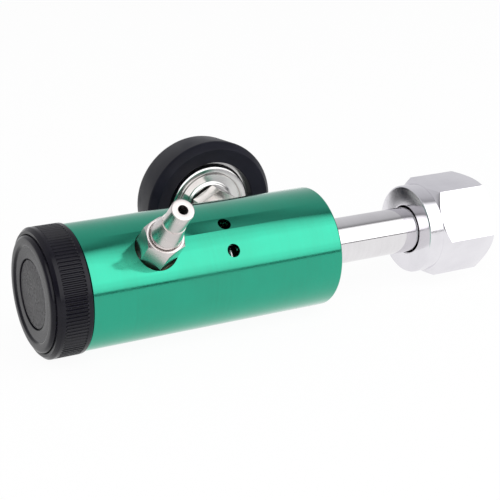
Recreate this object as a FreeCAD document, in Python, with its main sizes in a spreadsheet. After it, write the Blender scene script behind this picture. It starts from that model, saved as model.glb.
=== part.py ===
import FreeCAD, Part
import os
import re
import Sketcher

# Click-style oxygen regulator for a large cylinder valve.
#
# The origin is the centre of the inlet nut's open mouth, on the regulator's axis. +X leaves the
# mouth, so the whole regulator lies along -X, with the knob at its far end. +Z is up as the
# regulator lies on a table, resting on the knob's rim and the gauge's boot. Lengths are in
# millimetres, angles in degrees about +X, counted from +Z towards -Y.

SIZES = [
    ("inlet_reach", 61.2, "nut mouth to the end of the body"),
    ("body_radius", 18.5, "outside of the green sleeve"),
    ("body_length", 80.9, "length of the green sleeve"),
    ("body_wall", 2.2, "wall of the sleeve"),
    ("end_wall", 4.0, "closed end of the sleeve, around the inlet tube"),
    ("edge_round", 0.8, "round of the sleeve's outer edges"),
    ("slip", 0.05, "radial clearance of pieces that are pushed together"),
    ("run_fit", 0.08, "radial clearance of pieces that turn or slide"),
    ("open_gap", 0.3, "gap between faces that move past each other"),

    ("nut_across", 28.575, "inlet nut, across the flats"),
    ("nut_hex_length", 20.4, "hexagonal part of the nut"),
    ("nut_collar_length", 5.0, "round collar of the nut"),
    ("nut_collar_radius", 14.2, "outside of the collar"),
    ("nut_bore", 10.7, "radius of the nut's threaded bore, over the thread crests"),
    ("nut_floor", 7.0, "thickness of the nut's closed end"),
    ("nut_tube_gap", 0.45, "gap between the nut and the inlet tube"),
    ("nut_corner_chamfer", 38.0, "angle of the chamfer that takes the corners off"),
    ("nut_mouth_chamfer", 0.9, "chamfer at the thread's mouth"),
    ("nut_turned", 3.5, "angle at which the loose nut lies"),

    ("tube_radius", 7.3, "outside of the inlet tube"),
    ("inlet_bore", 2.2, "passage through the inlet tube"),
    ("shoulder_radius", 10.2, "shoulder that the nut pulls on"),
    ("shoulder_length", 3.5, "length of the shoulder"),
    ("nose_radius", 8.0, "nose that seats in the cylinder valve"),
    ("nose_round", 4.4, "rounding of the nose"),
    ("nose_recess", 4.5, "from the nut's mouth in to the tip of the nose"),
    ("filter_radius", 3.0, "sintered filter in the nose"),
    ("filter_length", 6.5, "length of the filter"),
    ("clip_thickness", 0.8, "ring that keeps the filter in"),
    ("clip_hole", 2.0, "hole through that ring"),

    ("socket_depth", 7.0, "how far the tube sits in the pressure block"),
    ("core_length", 26.0, "pressure block"),
    ("chamber_radius", 2.4, "high-pressure chamber"),
    ("chamber_length", 7.5, "length of that chamber"),
    ("nozzle_hole", 0.9, "hole through the nozzle"),
    ("nozzle_tip", 1.7, "radius of the nozzle's tip"),
    ("nozzle_foot", 2.6, "radius of the nozzle's foot"),
    ("nozzle_rise", 1.4, "height of the nozzle"),
    ("nozzle_wall", 2.5, "wall under the nozzle"),

    ("stem_radius", 4.0, "piston stem"),
    ("stem_hole", 1.5, "passage along the stem"),
    ("cross_hole", 0.7, "hole across the stem, behind its seat"),
    ("seat_radius", 2.7, "seat insert in the stem's end"),
    ("seat_thickness", 1.2, "thickness of the seat insert"),
    ("piston_lift", 0.6, "gap between nozzle and seat with no pressure on"),
    ("outlet_room", 3.3, "rear of the piston's head to the outlet block"),
    ("piston_head", 4.4, "thickness of the piston's head"),
    ("piston_skirt_depth", 1.6, "recess in the head for the spring"),
    ("ring_section", 0.95, "section radius of the sealing rings"),
    ("spring_inset", 4.7, "sleeve's bore in to the spring's mean radius"),
    ("spring_wire", 0.95, "radius of the spring's wire"),
    ("spring_pitch", 3.5, "from one turn of the spring to the next"),

    ("outlet_length", 13.5, "length of the outlet block"),
    ("feed_inset", 4.25, "feed hole, in from the outlet block's outside"),
    ("feed_hole", 1.5, "radius of the feed hole"),
    ("flow_circle", 7.5, "circle of the flow orifices"),
    ("flow_passage", 1.2, "passage from the orifices to the barb"),
    ("seal_radius", 2.2, "seal that bears on the orifice disc"),
    ("seal_depth", 2.0, "pocket of that seal"),
    ("disc_gap", 0.6, "gap between the orifice disc and the end cap's rim"),
    ("disc_thickness", 2.8, "thickness of the orifice disc"),
    ("orifice_radius", 0.5, "flow orifice"),
    ("orifice_count", 12, "flow settings"),
    ("detent_inset", 2.2, "detent dimples, in from the disc's edge"),
    ("detent_ball_radius", 1.2, "detent ball"),
    ("detent_gap", 0.1, "ball to the face of the disc"),
    ("dimple_depth", 0.45, "depth of a dimple"),
    ("detent_pocket", 7.0, "depth of the pocket of ball and spring"),
    ("shaft_radius", 3.0, "selector shaft"),
    ("pilot_radius", 2.0, "thin front end of the shaft"),
    ("pilot_length", 2.6, "length of that end"),

    ("cap_rim_wall", 2.05, "rim of the end cap around the disc"),
    ("cap_plate", 2.2, "plate of the end cap"),
    ("cap_place", 8.9, "rear end of the sleeve to the back of the end cap's plate"),
    ("cap_boss_gap", 0.5, "gap between the cap's boss and the number ring"),
    ("cap_boss_length", 7.8, "length of that boss"),
    ("snap_thickness", 1.1, "snap ring that keeps the end cap in"),
    ("snap_depth", 0.7, "depth of its groove in the sleeve"),
    ("snap_width", 1.7, "radial width of the snap ring"),
    ("snap_opening", 40.0, "angle left open between the snap ring's ends"),

    ("number_ring_gap", 0.3, "gap between the number ring and the sleeve"),
    ("number_ring_wall", 1.2, "wall of the number ring"),
    ("window_width", 7.0, "flow window, around the body"),
    ("window_length", 4.6, "flow window, along the body"),
    ("window_inset", 4.3, "sleeve's end to the middle of the window"),

    ("knob_overhang", 0.5, "knob's skirt, out from the sleeve's outside"),
    ("knob_skirt", 10.2, "length of the skirt"),
    ("knob_edge", 0.45, "chamfer of the skirt"),
    ("knob_wall", 2.4, "wall of the skirt"),
    ("knob_inside", 7.0, "depth of the knob's inside"),
    ("knob_hub", 5.5, "hub on the shaft"),
    ("front_ring_inset", 2.1, "raised ring on the knob's front, in from the skirt"),
    ("front_ring_width", 2.7, "width of that ring"),
    ("front_ring_rise", 1.9, "raised ring above the skirt"),
    ("front_ring_round", 1.1, "rounding of that ring"),
    ("face_recess", 0.5, "flat face below the ring's crest"),
    ("plate_recess_radius", 10.3, "round recess in the knob's face"),
    ("plate_recess_depth", 1.6, "depth of that recess"),
    ("rib_count", 96, "ribs around the skirt"),
    ("rib_groove_depth", 0.45, "depth of the grooves between the ribs"),
    ("rib_groove_width", 0.75, "width of a groove at the surface"),
    ("plate_gap", 0.4, "groove left around the knob's plate"),
    ("plate_thickness", 1.2, "thickness of the knob's plate"),
    ("screw_pocket_radius", 4.2, "pocket of the knob's screw"),
    ("screw_pocket_depth", 1.4, "depth of that pocket"),
    ("screw_head_radius", 3.6, "head of the screw"),
    ("screw_head_length", 1.1, "height of the head"),
    ("screw_radius", 1.5, "shank of the screw"),
    ("screw_length", 8.0, "length of the shank"),
    ("knob_wall_under", 0.7, "wall of the knob that the screw clamps"),

    ("vent_share", 0.57, "vents, share of the way from the piston to the pressure block"),
    ("vent_radius", 2.0, "vent hole"),
    ("vent_angle_high", 34.0, "angle of the upper vent"),
    ("vent_angle_low", 61.3, "angle of the lower vent"),

    ("barb_inset", 7.2, "front face of the outlet block to the outlet"),
    ("barb_angle", 47.6, "angle of the outlet"),
    ("barb_stand", 23.5, "outside of the sleeve to the tip of the barb"),
    ("barb_tip_radius", 3.3, "radius of the tip"),
    ("barb_tip_length", 7.8, "length of the straight tip"),
    ("barb_cone_radius", 4.65, "widest of the barb"),
    ("barb_cone_length", 6.4, "length of the cone"),
    ("barb_neck_radius", 3.9, "neck behind the cone"),
    ("barb_neck_length", 1.2, "length of the neck"),
    ("barb_bore", 1.42, "bore of the barb"),
    ("barb_step", 0.2, "step between tip and cone"),
    ("barb_bead_length", 0.5, "bead under the cone"),
    ("barb_bead_radius", 4.3, "outside of that bead"),
    ("barb_turned", 23.5, "angle at which the hexagon stops"),
    ("barb_across", 11.0, "hexagon of the barb, across the flats"),
    ("barb_seat_depth", 0.45, "depth of the spot face under the barb"),
    ("barb_washer", 0.5, "sealing washer"),
    ("barb_thread", 4.4, "radius of the barb's thread"),
    ("barb_thread_length", 5.0, "length of the barb's thread"),
    ("barb_counterbore", 6.5, "round opening in the sleeve around the hexagon"),

    ("gauge_place", 13.5, "end of the body to the gauge"),
    ("gauge_angle", -85.35, "angle of the gauge"),
    ("port_radius", 7.6, "collar of the gauge port"),
    ("port_stand", 9.0, "outside of the sleeve to the outer face of the port"),
    ("port_seat_depth", 1.05, "depth of the spot face under the port"),
    ("port_thread", 4.9, "radius of the gauge thread"),
    ("port_thread_length", 5.4, "length of the gauge thread in the block"),
    ("port_hole", 1.25, "passage to the gauge"),
    ("port_socket_depth", 8.0, "depth of the gauge's socket"),
    ("stem_hex_across", 14.0, "hexagon of the gauge stem"),
    ("stem_hex_lead", 6.5, "near face of that hexagon, before the case"),
    ("stem_hex_length", 5.4, "length of that hexagon"),
    ("stem_neck", 5.0, "round neck through the back of the case"),
    ("stem_inside", 3.0, "back of the case to the end of the stem inside it"),
    ("gauge_stand", 24.5, "outside of the sleeve to the back of the gauge's case"),
    ("case_radius", 19.9, "outside of the case"),
    ("case_depth", 13.0, "depth of the case"),
    ("case_sheet", 0.6, "sheet of the case"),
    ("case_ring_drop", 2.2, "outer ring of the back, below its middle"),
    ("case_raise_inset", 5.3, "raised middle of the back, in from the case's outside"),
    ("case_groove_inset", 3.2, "pressed groove, in from the raised middle's outside"),
    ("case_groove_width", 2.8, "width of the pressed groove"),
    ("case_groove_depth", 0.7, "depth of the pressed groove"),
    ("boot_lead", 0.6, "back of the boot, before the case"),
    ("boot_opening_inset", 4.2, "opening in the back of the boot, in from the case's outside"),
    ("boot_wall", 2.9, "wall of the boot around the case"),
    ("boot_ridge_inset", 2.1, "ridge on the boot's back, in from its outside"),
    ("boot_edge_length", 2.6, "slope from the ridge to the outside"),
    ("boot_ridge_rise", 1.5, "ridge, before the back of the boot"),
    ("boot_taper", 1.9, "outside of the boot's front, in from its back"),
    ("boot_length", 15.6, "length of the boot"),
    ("boot_front_round", 3.6, "rounding of the boot's front"),
    ("boot_front_inset", 2.5, "opening in the front of the boot, in from the case's outside"),
    ("boot_front_wall", 1.3, "front lip of the boot"),
    ("lens_thickness", 1.2, "clear lens"),
    ("bezel_width", 1.8, "ring over the lens"),
    ("bezel_thickness", 0.7, "thickness of that ring"),
    ("dial_gap", 0.7, "gap between the dial and the case"),
    ("dial_thickness", 0.4, "thickness of the dial"),
    ("dial_drop", 2.6, "lens to the dial's face"),
    ("dial_hole", 1.4, "hole for the pointer's shaft"),
    ("dial_screw_circle", 8.0, "distance of the dial's screws from its middle"),
    ("dial_screw_radius", 1.1, "head of a dial screw"),
    ("dial_screw_head", 0.45, "height of that head"),
    ("dial_screw_shank", 0.5, "shank of a dial screw"),
    ("dial_screw_length", 1.0, "length of that shank below the dial"),
    ("dial_post_radius", 1.2, "post under the dial"),
    ("pointer_inset", 5.1, "tip of the pointer, in from the dial's edge"),
    ("pointer_tail", 4.5, "pointer's tail"),
    ("pointer_width", 1.3, "width of the pointer at its hub"),
    ("pointer_sheet", 0.35, "thickness of the pointer"),
    ("pointer_rise", 0.7, "dial's face to the pointer"),
    ("pointer_hub", 1.7, "hub of the pointer"),
    ("pointer_angle", 45.0, "angle of the pointer at rest, about the gauge's axis"),

    ("arbor_radius", 0.6, "shaft of the pointer"),
    ("pivot_fit", 0.05, "radial clearance of the movement's pivots"),
    ("pinion_radius", 1.5, "pitch circle of the pinion"),
    ("pinion_teeth", 10, "teeth of the pinion"),
    ("sector_radius", 9.0, "pitch circle of the toothed sector"),
    ("sector_teeth", 10, "teeth of the sector"),
    ("sector_step", 6.0, "angle from one tooth of the sector to the next"),
    ("tooth_rise", 0.24, "tooth above the pitch circle"),
    ("tooth_root", 0.36, "tooth below the pitch circle"),
    ("tooth_foot", 0.26, "half the width of a tooth at its foot"),
    ("tooth_crest", 0.1, "half the width of a tooth at its crest"),
    ("sector_angle", -6.0, "direction from the pointer's shaft to the sector's pivot"),
    ("sector_start", 156.0, "angle from there to the middle of the sector at rest"),
    ("sector_sheet", 0.8, "thickness of the sector"),
    ("sector_rim", 1.6, "toothed rim of the sector"),
    ("sector_pivot", 0.5, "pivot of the sector"),
    ("tail_angle", -112.5, "angle from that direction to the sector's tail at rest"),
    ("tail_length", 2.6, "pivot to the pin in the tail"),
    ("tail_width", 1.5, "width of the tail and of the link"),
    ("pin_radius", 0.3, "pins of the link"),
    ("link_length", 4.2, "link, from pin to pin"),
    ("link_sheet", 0.4, "thickness of the link"),
    ("plate_sheet", 0.6, "thickness of the movement's plates"),
    ("plate_foot", 4.2, "back of the case to the movement's back plate"),
    ("plate_room", 2.2, "room between the movement's plates"),
    ("plate_end", 12.4, "pointer's shaft to the pivot end of the plates"),
    ("plate_tail", 9.6, "pointer's shaft to the other end of the plates"),
    ("plate_half", 5.6, "half the width of the plates at the pivot end"),
    ("plate_tail_half", 2.4, "half their width at the other end"),
    ("pillar_radius", 0.9, "pillar between the plates"),
    ("pillar_reach", 4.5, "sector's pivot to the near pillar"),
    ("pillar_angle", 75.0, "angle of that pillar from the plates' middle line"),
    ("far_pillar", 5.4, "pointer's shaft to the far pillar"),
    ("tube_inside", 14.6, "bent pressure tube, inner radius of the bend"),
    ("tube_thickness", 1.2, "thickness of the flattened tube"),
    ("tube_width", 3.8, "width of the flattened tube"),
    ("tube_sheet", 0.25, "wall of the flattened tube"),
    ("tube_start", 90.0, "angle of the block that holds the tube"),
    ("tube_sweep", 246.0, "angle of the bend"),
    ("tube_closed", 4.0, "angle of the closed end"),
    ("block_half", 2.6, "half the width of the tube's block"),
    ("block_reach", 16.8, "pointer's shaft to the end of the block"),
    ("block_depth", 2.9, "depth of the block's post"),
    ("arm_sheet", 1.2, "thickness of the block's arm"),
    ("tip_sheet", 0.6, "lug on the tube's tip"),
    ("tip_slot", 0.45, "half the width of the slot in the lug"),
    ("hairspring_radius", 1.2, "first turn of the hairspring"),
    ("hairspring_growth", 0.6, "from one turn of the hairspring to the next"),
    ("hairspring_count", 3.5, "turns of the hairspring"),
    ("hairspring_wire", 0.12, "radius of the hairspring's wire"),
]

doc = FreeCAD.newDocument("OxygenRegulator")
sheet = doc.addObject("Spreadsheet::Sheet", "Sizes")
for row, (alias, size, meaning) in enumerate(SIZES, start=1):
    sheet.set("A%d" % row, meaning)
    sheet.set("B%d" % row, str(size))
    sheet.setAlias("B%d" % row, alias)
doc.recompute()

ALIAS = re.compile(r"\b(" + "|".join(alias for alias, size, meaning in SIZES) + r")\b")
ROLES = {"X": ("XY_Plane", "YZ_Plane", "H_Axis"), "Z": ("XZ_Plane", "XY_Plane", "V_Axis")}

# Places along the regulator's axis and on it, worked out from the sizes.
BODY_END = "(-inlet_reach)"
SLEEVE_REAR = "(-inlet_reach - body_length)"
SLEEVE_BORE = "(body_radius - body_wall)"
BLOCK_RADIUS = "(body_radius - body_wall - slip)"
NUT_LENGTH = "(nut_hex_length + nut_collar_length)"
CORE_FRONT = "(-inlet_reach - end_wall)"
TUBE_END = "(-inlet_reach - end_wall - socket_depth)"
SHOULDER_REAR = "(nut_floor + open_gap - nut_hex_length - nut_collar_length)"
STEM_BORE = "(stem_radius + run_fit)"
NOZZLE_FOOT = "(socket_depth + chamber_length + nozzle_wall)"
SPRING_RADIUS = "(body_radius - body_wall - spring_inset)"
SEAT_PLACE = "(-inlet_reach - end_wall - %s - nozzle_rise - piston_lift)" % NOZZLE_FOOT
CAP_BACK = "(%s + cap_place)" % SLEEVE_REAR
CAP_FACE = "(%s + cap_plate)" % CAP_BACK
DISC_REAR = "(%s + 2 * open_gap)" % CAP_FACE
DISC_FRONT = "(%s + disc_thickness)" % DISC_REAR
OUTLET_REAR = "(%s + 2 * open_gap)" % DISC_FRONT
OUTLET_FRONT = "(%s + outlet_length)" % OUTLET_REAR
HEAD_FRONT = "(%s + outlet_room + piston_head)" % OUTLET_FRONT
CORE_REAR = "(%s - core_length)" % CORE_FRONT
VENT_X = "(%s + (%s - %s) * vent_share)" % (HEAD_FRONT, CORE_REAR, HEAD_FRONT)
BARB_X = "(%s - barb_inset)" % OUTLET_FRONT
BARB_SEAT = "(%s - barb_seat_depth)" % BLOCK_RADIUS
BARB_REACH = "(body_radius + barb_stand)"
GAUGE_X = "(-inlet_reach - gauge_place)"
PORT_SEAT = "(%s - port_seat_depth)" % BLOCK_RADIUS
PORT_TOP = "(body_radius + port_stand)"
PORT_SOCKET = "(%s - port_socket_depth)" % PORT_TOP
GAUGE_BACK = "(body_radius + gauge_stand)"
DISC_RADIUS = "(%s - cap_rim_wall - disc_gap)" % BLOCK_RADIUS
DETENT_CIRCLE = "(%s - detent_inset)" % DISC_RADIUS
NUMBER_RADIUS = "(%s - number_ring_gap)" % SLEEVE_BORE
CAP_BOSS_RADIUS = "(%s - number_ring_wall - cap_boss_gap)" % NUMBER_RADIUS
KNOB_RADIUS = "(body_radius + knob_overhang)"
KNOB_BORE = "(%s - knob_wall)" % KNOB_RADIUS
RING_OUTER = "(%s - front_ring_inset)" % KNOB_RADIUS
RING_INNER = "(%s - front_ring_width)" % RING_OUTER
KNOB_RIM = "(%s - open_gap)" % SLEEVE_REAR
KNOB_FACE = "(knob_skirt + front_ring_rise - face_recess)"
PLATE_FLOOR = "(%s - plate_recess_depth)" % KNOB_FACE
SCREW_FLOOR = "(%s - screw_pocket_depth)" % PLATE_FLOOR
SHAFT_TIP = "(%s - knob_wall_under)" % SCREW_FLOOR
LENS_BACK = "(%s + case_depth - lens_thickness)" % GAUGE_BACK
DIAL_FACE = "(%s - dial_drop)" % LENS_BACK


def bind(expression):
    """Names the sheet in front of each alias."""
    return ALIAS.sub(r"Sizes.\1", expression)


def value(expression):
    return float(sheet.evalExpression(expression))


def placed(thing, along, angle="0", out="0", spin=None):
    """Puts a piece on the axis at one station, turned about the axis and moved outwards."""
    turn = "rotation(vector(1; 0; 0); %s)" % angle
    if spin:
        turn = "%s * rotation(%s)" % (turn, spin)
    middle = "vector(%s; -(%s) * sin(%s); (%s) * cos(%s))" % (along, out, angle, out, angle)
    thing.setExpression("Placement", bind("placement(%s; %s)" % (middle, turn)))


def piece(name, along="0", angle="0", out="0", spin=None):
    body = doc.addObject("PartDesign::Body", name)
    body.Label = name
    placed(body, along, angle, out, spin)
    return body


def origin_feature(body, role):
    return next(item for item in body.Origin.OriginFeatures if item.Role == role)


def shifted(thing, along, angle, across, up, spin="0"):
    """Puts a piece beside a radial line, at a place in the plane across that line."""
    base = "placement(vector(%s; 0; 0); rotation(vector(1; 0; 0); %s))" % (along, angle)
    beside = "placement(vector(%s; %s; 0); rotation(vector(0; 0; 1); %s))" % (across, up, spin)
    thing.setExpression("Placement", bind("%s * %s" % (base, beside)))


def spun(points, angle):
    """Turns the corners of an outline about the origin."""
    return [
        ("(%s) * cos(%s) - (%s) * sin(%s)" % (across, angle, up, angle),
         "(%s) * sin(%s) + (%s) * cos(%s)" % (across, angle, up, angle))
        for across, up in points
    ]


def sketch_on(body, name, role, offset=None):
    sketch = body.newObject("Sketcher::SketchObject", name)
    sketch.AttachmentSupport = [(origin_feature(body, role), "")]
    sketch.MapMode = "FlatFace"
    if offset:
        sketch.setExpression("AttachmentOffset.Base.z", bind(offset))
    return sketch


def tie(sketch, kind, index, expression):
    """Ties the start point of one line to the sheet, or to the axis that it lies on."""
    if expression == "0":
        axis = -1 if kind == "DistanceY" else -2
        sketch.addConstraint(Sketcher.Constraint("PointOnObject", index, 1, axis))
        return
    constraint = Sketcher.Constraint(kind, -1, 1, index, 1, value(expression))
    number = sketch.addConstraint(constraint)
    sketch.setExpression("Constraints[%d]" % number, bind(expression))


def draw(sketch, points):
    """Draws a closed outline whose corners are pairs of expressions."""
    first = sketch.GeometryCount
    count = len(points)
    corners = [FreeCAD.Vector(value(across), value(up), 0) for across, up in points]
    for start, end in zip(corners, corners[1:] + corners[:1]):
        sketch.addGeometry(Part.LineSegment(start, end))
    for index in range(count):
        after = first + (index + 1) % count
        sketch.addConstraint(Sketcher.Constraint("Coincident", first + index, 2, after, 1))
    for index, (across, up) in enumerate(points):
        tie(sketch, "DistanceX", first + index, across)
        tie(sketch, "DistanceY", first + index, up)


def draw_circle(sketch, across, up, radius):
    middle = FreeCAD.Vector(value(across), value(up), 0)
    circle = Part.Circle(middle, FreeCAD.Vector(0, 0, 1), value(radius))
    index = sketch.addGeometry(circle)
    number = sketch.addConstraint(Sketcher.Constraint("Radius", index, value(radius)))
    sketch.setExpression("Constraints[%d]" % number, bind(radius))
    for kind, place, axis in (("DistanceX", across, -2), ("DistanceY", up, -1)):
        if place == "0":
            sketch.addConstraint(Sketcher.Constraint("PointOnObject", index, 3, axis))
        else:
            constraint = Sketcher.Constraint(kind, -1, 1, index, 3, value(place))
            number = sketch.addConstraint(constraint)
            sketch.setExpression("Constraints[%d]" % number, bind(place))


def turned(body, name, points, cut=False, axis="X", sweep="360", middle=False):
    """Turns an outline of (along, radius) corners about the body's own axis."""
    plane, across, line = ROLES[axis]
    sketch = sketch_on(body, name + "_outline", plane)
    if axis == "X":
        draw(sketch, points)
    else:
        draw(sketch, [(radius, along) for along, radius in points])
    kind = "PartDesign::Groove" if cut else "PartDesign::Revolution"
    feature = body.newObject(kind, name)
    feature.Profile = sketch
    feature.ReferenceAxis = (sketch, [line])
    feature.Midplane = middle
    feature.setExpression("Angle", bind(sweep))
    doc.recompute()
    return feature


def hexagon(across, upright=False):
    corner = "(%s) / cos(30) / 2" % across
    half = "(%s) / 2" % across
    near = "(%s) * tan(30) / 2" % across
    points = [
        (corner, "0"),
        (near, half),
        ("-" + near, half),
        ("-" + corner, "0"),
        ("-" + near, "-" + half),
        (near, "-" + half),
    ]
    if upright:
        points = [(up, side) for side, up in points]
    return points


def padded(body, name, points, start, length, axis="X"):
    """Pads an outline from a plane across the axis."""
    sketch = sketch_on(body, name + "_outline", ROLES[axis][1], start)
    draw(sketch, points)
    pad = body.newObject("PartDesign::Pad", name)
    pad.Profile = sketch
    pad.setExpression("Length", bind(length))
    doc.recompute()
    return pad


def drilled(body, name, radius, along, angle, start, depth):
    """A round hole square to the axis, from one distance off the axis outwards."""
    hole = body.newObject("PartDesign::SubtractiveCylinder", name)
    hole.AttachmentSupport = [(origin_feature(body, "XY_Plane"), "")]
    hole.MapMode = "FlatFace"
    middle = "vector(%s; -(%s) * sin(%s); (%s) * cos(%s))" % (along, start, angle, start, angle)
    turn = "rotation(vector(1; 0; 0); %s)" % angle
    hole.setExpression("AttachmentOffset", bind("placement(%s; %s)" % (middle, turn)))
    hole.setExpression("Radius", bind(radius))
    hole.setExpression("Height", bind(depth))
    doc.recompute()
    return hole


def bored(body, name, radius, along, depth, off="0", angle="0"):
    """A round hole along the axis, at a distance from it, cut towards -X."""
    hole = body.newObject("PartDesign::SubtractiveCylinder", name)
    hole.AttachmentSupport = [(origin_feature(body, "XY_Plane"), "")]
    hole.MapMode = "FlatFace"
    middle = "vector(%s; -(%s) * sin(%s); (%s) * cos(%s))" % (along, off, angle, off, angle)
    hole.setExpression(
        "AttachmentOffset", bind("placement(%s; rotation(vector(0; 1; 0); -90))" % middle)
    )
    hole.setExpression("Radius", bind(radius))
    hole.setExpression("Height", bind(depth))
    doc.recompute()
    return hole


def repeated(body, name, feature, count, role="X_Axis", angle="360"):
    pattern = body.newObject("PartDesign::PolarPattern", name)
    pattern.Originals = [feature]
    pattern.Axis = (origin_feature(body, role), [""])
    pattern.setExpression("Angle", bind(angle))
    pattern.setExpression("Occurrences", bind(count))
    body.Tip = pattern
    doc.recompute()
    return pattern


def rounded(body, name, feature, size, picks, axis="X", chamfer=False):
    """Rounds or chamfers the turned edges at the given (along, radius) places."""
    wanted = [(value(along), value(radius)) for along, radius in picks]
    near = value("slip") / 100
    names = []
    for index, edge in enumerate(feature.Shape.Edges, start=1):
        if not isinstance(edge.Curve, Part.Circle):
            continue
        middle = edge.Curve.Center
        along = middle.x if axis == "X" else middle.z
        for place, radius in wanted:
            if abs(along - place) < near and abs(edge.Curve.Radius - radius) < near:
                names.append("Edge%d" % index)
    if len(names) < len(picks):
        raise RuntimeError("%s finds only %d edges" % (name, len(names)))
    kind = "PartDesign::Chamfer" if chamfer else "PartDesign::Fillet"
    blend = body.newObject(kind, name)
    blend.Base = (feature, names)
    blend.setExpression("Size" if chamfer else "Radius", bind(size))
    doc.recompute()
    return blend


def sealing_ring(name, along, radius, angle="0", out="0", upright=False):
    ring = doc.addObject("Part::Torus", name)
    ring.Label = name
    ring.setExpression("Radius1", bind(radius))
    ring.setExpression("Radius2", bind("ring_section"))
    placed(ring, along, angle, out, None if upright else "vector(0; 1; 0); 90")
    return ring


# Inlet nut: a round collar and a hexagon whose corners are turned off at both ends, bored and
# threaded from the mouth, with a closed end that pulls on the shoulder of the inlet tube.
nut = piece("inlet_nut", "-" + NUT_LENGTH, "nut_turned")
turned(nut, "collar", [
    ("0", "0"),
    ("0", "nut_collar_radius - edge_round / 2"),
    ("edge_round / 2", "nut_collar_radius"),
    ("nut_collar_length + edge_round", "nut_collar_radius"),
    ("nut_collar_length + edge_round", "0"),
])
padded(nut, "hexagon", hexagon("nut_across"), "nut_collar_length", "nut_hex_length")
CORNER = "(nut_across / cos(30) / 2 + slip)"
FLAT = "(nut_across / 2 - slip)"
FALL = "((%s - %s) * tan(nut_corner_chamfer))" % (CORNER, FLAT)
turned(nut, "mouth_corners", [
    (NUT_LENGTH, FLAT),
    (NUT_LENGTH, CORNER),
    ("%s - %s" % (NUT_LENGTH, FALL), CORNER),
], cut=True)
turned(nut, "collar_corners", [
    ("nut_collar_length", FLAT),
    ("nut_collar_length", CORNER),
    ("nut_collar_length + %s" % FALL, CORNER),
], cut=True)
turned(nut, "bore", [
    ("0", "0"),
    ("0", "tube_radius + nut_tube_gap"),
    ("nut_floor", "tube_radius + nut_tube_gap"),
    ("nut_floor", "nut_bore"),
    ("%s - nut_mouth_chamfer" % NUT_LENGTH, "nut_bore"),
    (NUT_LENGTH, "nut_bore + nut_mouth_chamfer"),
    (NUT_LENGTH, "0"),
], cut=True)

# Inlet tube: the nose that seats in the valve, the shoulder for the nut and the long tube that
# is screwed into the pressure block.
nipple = piece("inlet_nipple", TUBE_END)
TUBE_RUN = "(%s - %s)" % (SHOULDER_REAR, TUBE_END)
NOSE_TIP = "(-nose_recess - %s)" % TUBE_END
nose = turned(nipple, "nipple_blank", [
    ("0", "inlet_bore"),
    ("0", "tube_radius"),
    (TUBE_RUN, "tube_radius"),
    (TUBE_RUN, "shoulder_radius"),
    ("%s + shoulder_length" % TUBE_RUN, "shoulder_radius"),
    ("%s + shoulder_length" % TUBE_RUN, "nose_radius"),
    (NOSE_TIP, "nose_radius"),
    (NOSE_TIP, "filter_radius"),
    ("%s - filter_length - clip_thickness" % NOSE_TIP, "filter_radius"),
    ("%s - filter_length - clip_thickness" % NOSE_TIP, "inlet_bore"),
])
rounded(nipple, "nose_rounding", nose, "nose_round", [(NOSE_TIP, "nose_radius")])

# Sintered filter in the nose and the ring that keeps it there.
screen = piece("inlet_filter", "-nose_recess - clip_thickness - filter_length")
turned(screen, "filter_plug", [
    ("0", "0"),
    ("0", "filter_radius - slip"),
    ("filter_length", "filter_radius - slip"),
    ("filter_length", "0"),
])
clip = piece("filter_clip", "-nose_recess - clip_thickness")
turned(clip, "clip_ring", [
    ("0", "clip_hole"),
    ("0", "filter_radius - slip"),
    ("clip_thickness", "filter_radius - slip"),
    ("clip_thickness", "clip_hole"),
])

# Sleeve: the green body, a tube with one closed end for the inlet tube, round openings for the
# outlet, the two vents and the gauge, the flow window and the groove of the snap ring.
sleeve = piece("body_sleeve", SLEEVE_REAR)
blank = turned(sleeve, "sleeve_blank", [
    ("0", SLEEVE_BORE),
    ("0", "body_radius"),
    ("body_length", "body_radius"),
    ("body_length", "tube_radius + 2 * slip"),
    ("body_length - end_wall", "tube_radius + 2 * slip"),
    ("body_length - end_wall", SLEEVE_BORE),
    ("%s - %s" % (CAP_BACK, SLEEVE_REAR), SLEEVE_BORE),
    ("%s - %s" % (CAP_BACK, SLEEVE_REAR), SLEEVE_BORE + " + snap_depth"),
    ("%s - %s - snap_thickness - slip" % (CAP_BACK, SLEEVE_REAR), SLEEVE_BORE + " + snap_depth"),
    ("%s - %s - snap_thickness - slip" % (CAP_BACK, SLEEVE_REAR), SLEEVE_BORE),
])
rounded(sleeve, "sleeve_edges", blank, "edge_round", [("body_length", "body_radius")])
drilled(sleeve, "outlet_opening", "barb_counterbore", "%s - %s" % (BARB_X, SLEEVE_REAR),
        "barb_angle", "body_radius / 2", "body_radius")
drilled(sleeve, "upper_vent", "vent_radius", "%s - %s" % (VENT_X, SLEEVE_REAR),
        "vent_angle_high", "body_radius / 2", "body_radius")
drilled(sleeve, "lower_vent", "vent_radius", "%s - %s" % (VENT_X, SLEEVE_REAR),
        "vent_angle_low", "body_radius / 2", "body_radius")
drilled(sleeve, "gauge_opening", "port_radius + open_gap / 2", "body_length - gauge_place",
        "gauge_angle", "body_radius / 2", "body_radius")
window = sleeve.newObject("PartDesign::SubtractiveBox", "flow_window")
window.AttachmentSupport = [(origin_feature(sleeve, "XY_Plane"), "")]
window.MapMode = "FlatFace"
window.setExpression("AttachmentOffset", bind(
    "placement(vector(0; 0; 0); rotation(vector(1; 0; 0); gauge_angle))"
    " * placement(vector(window_inset - window_length / 2; -window_width / 2; body_radius / 2);"
    " rotation(vector(1; 0; 0); 0))"
))
window.setExpression("Length", bind("window_length"))
window.setExpression("Width", bind("window_width"))
window.setExpression("Height", bind("body_radius"))
doc.recompute()

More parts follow.
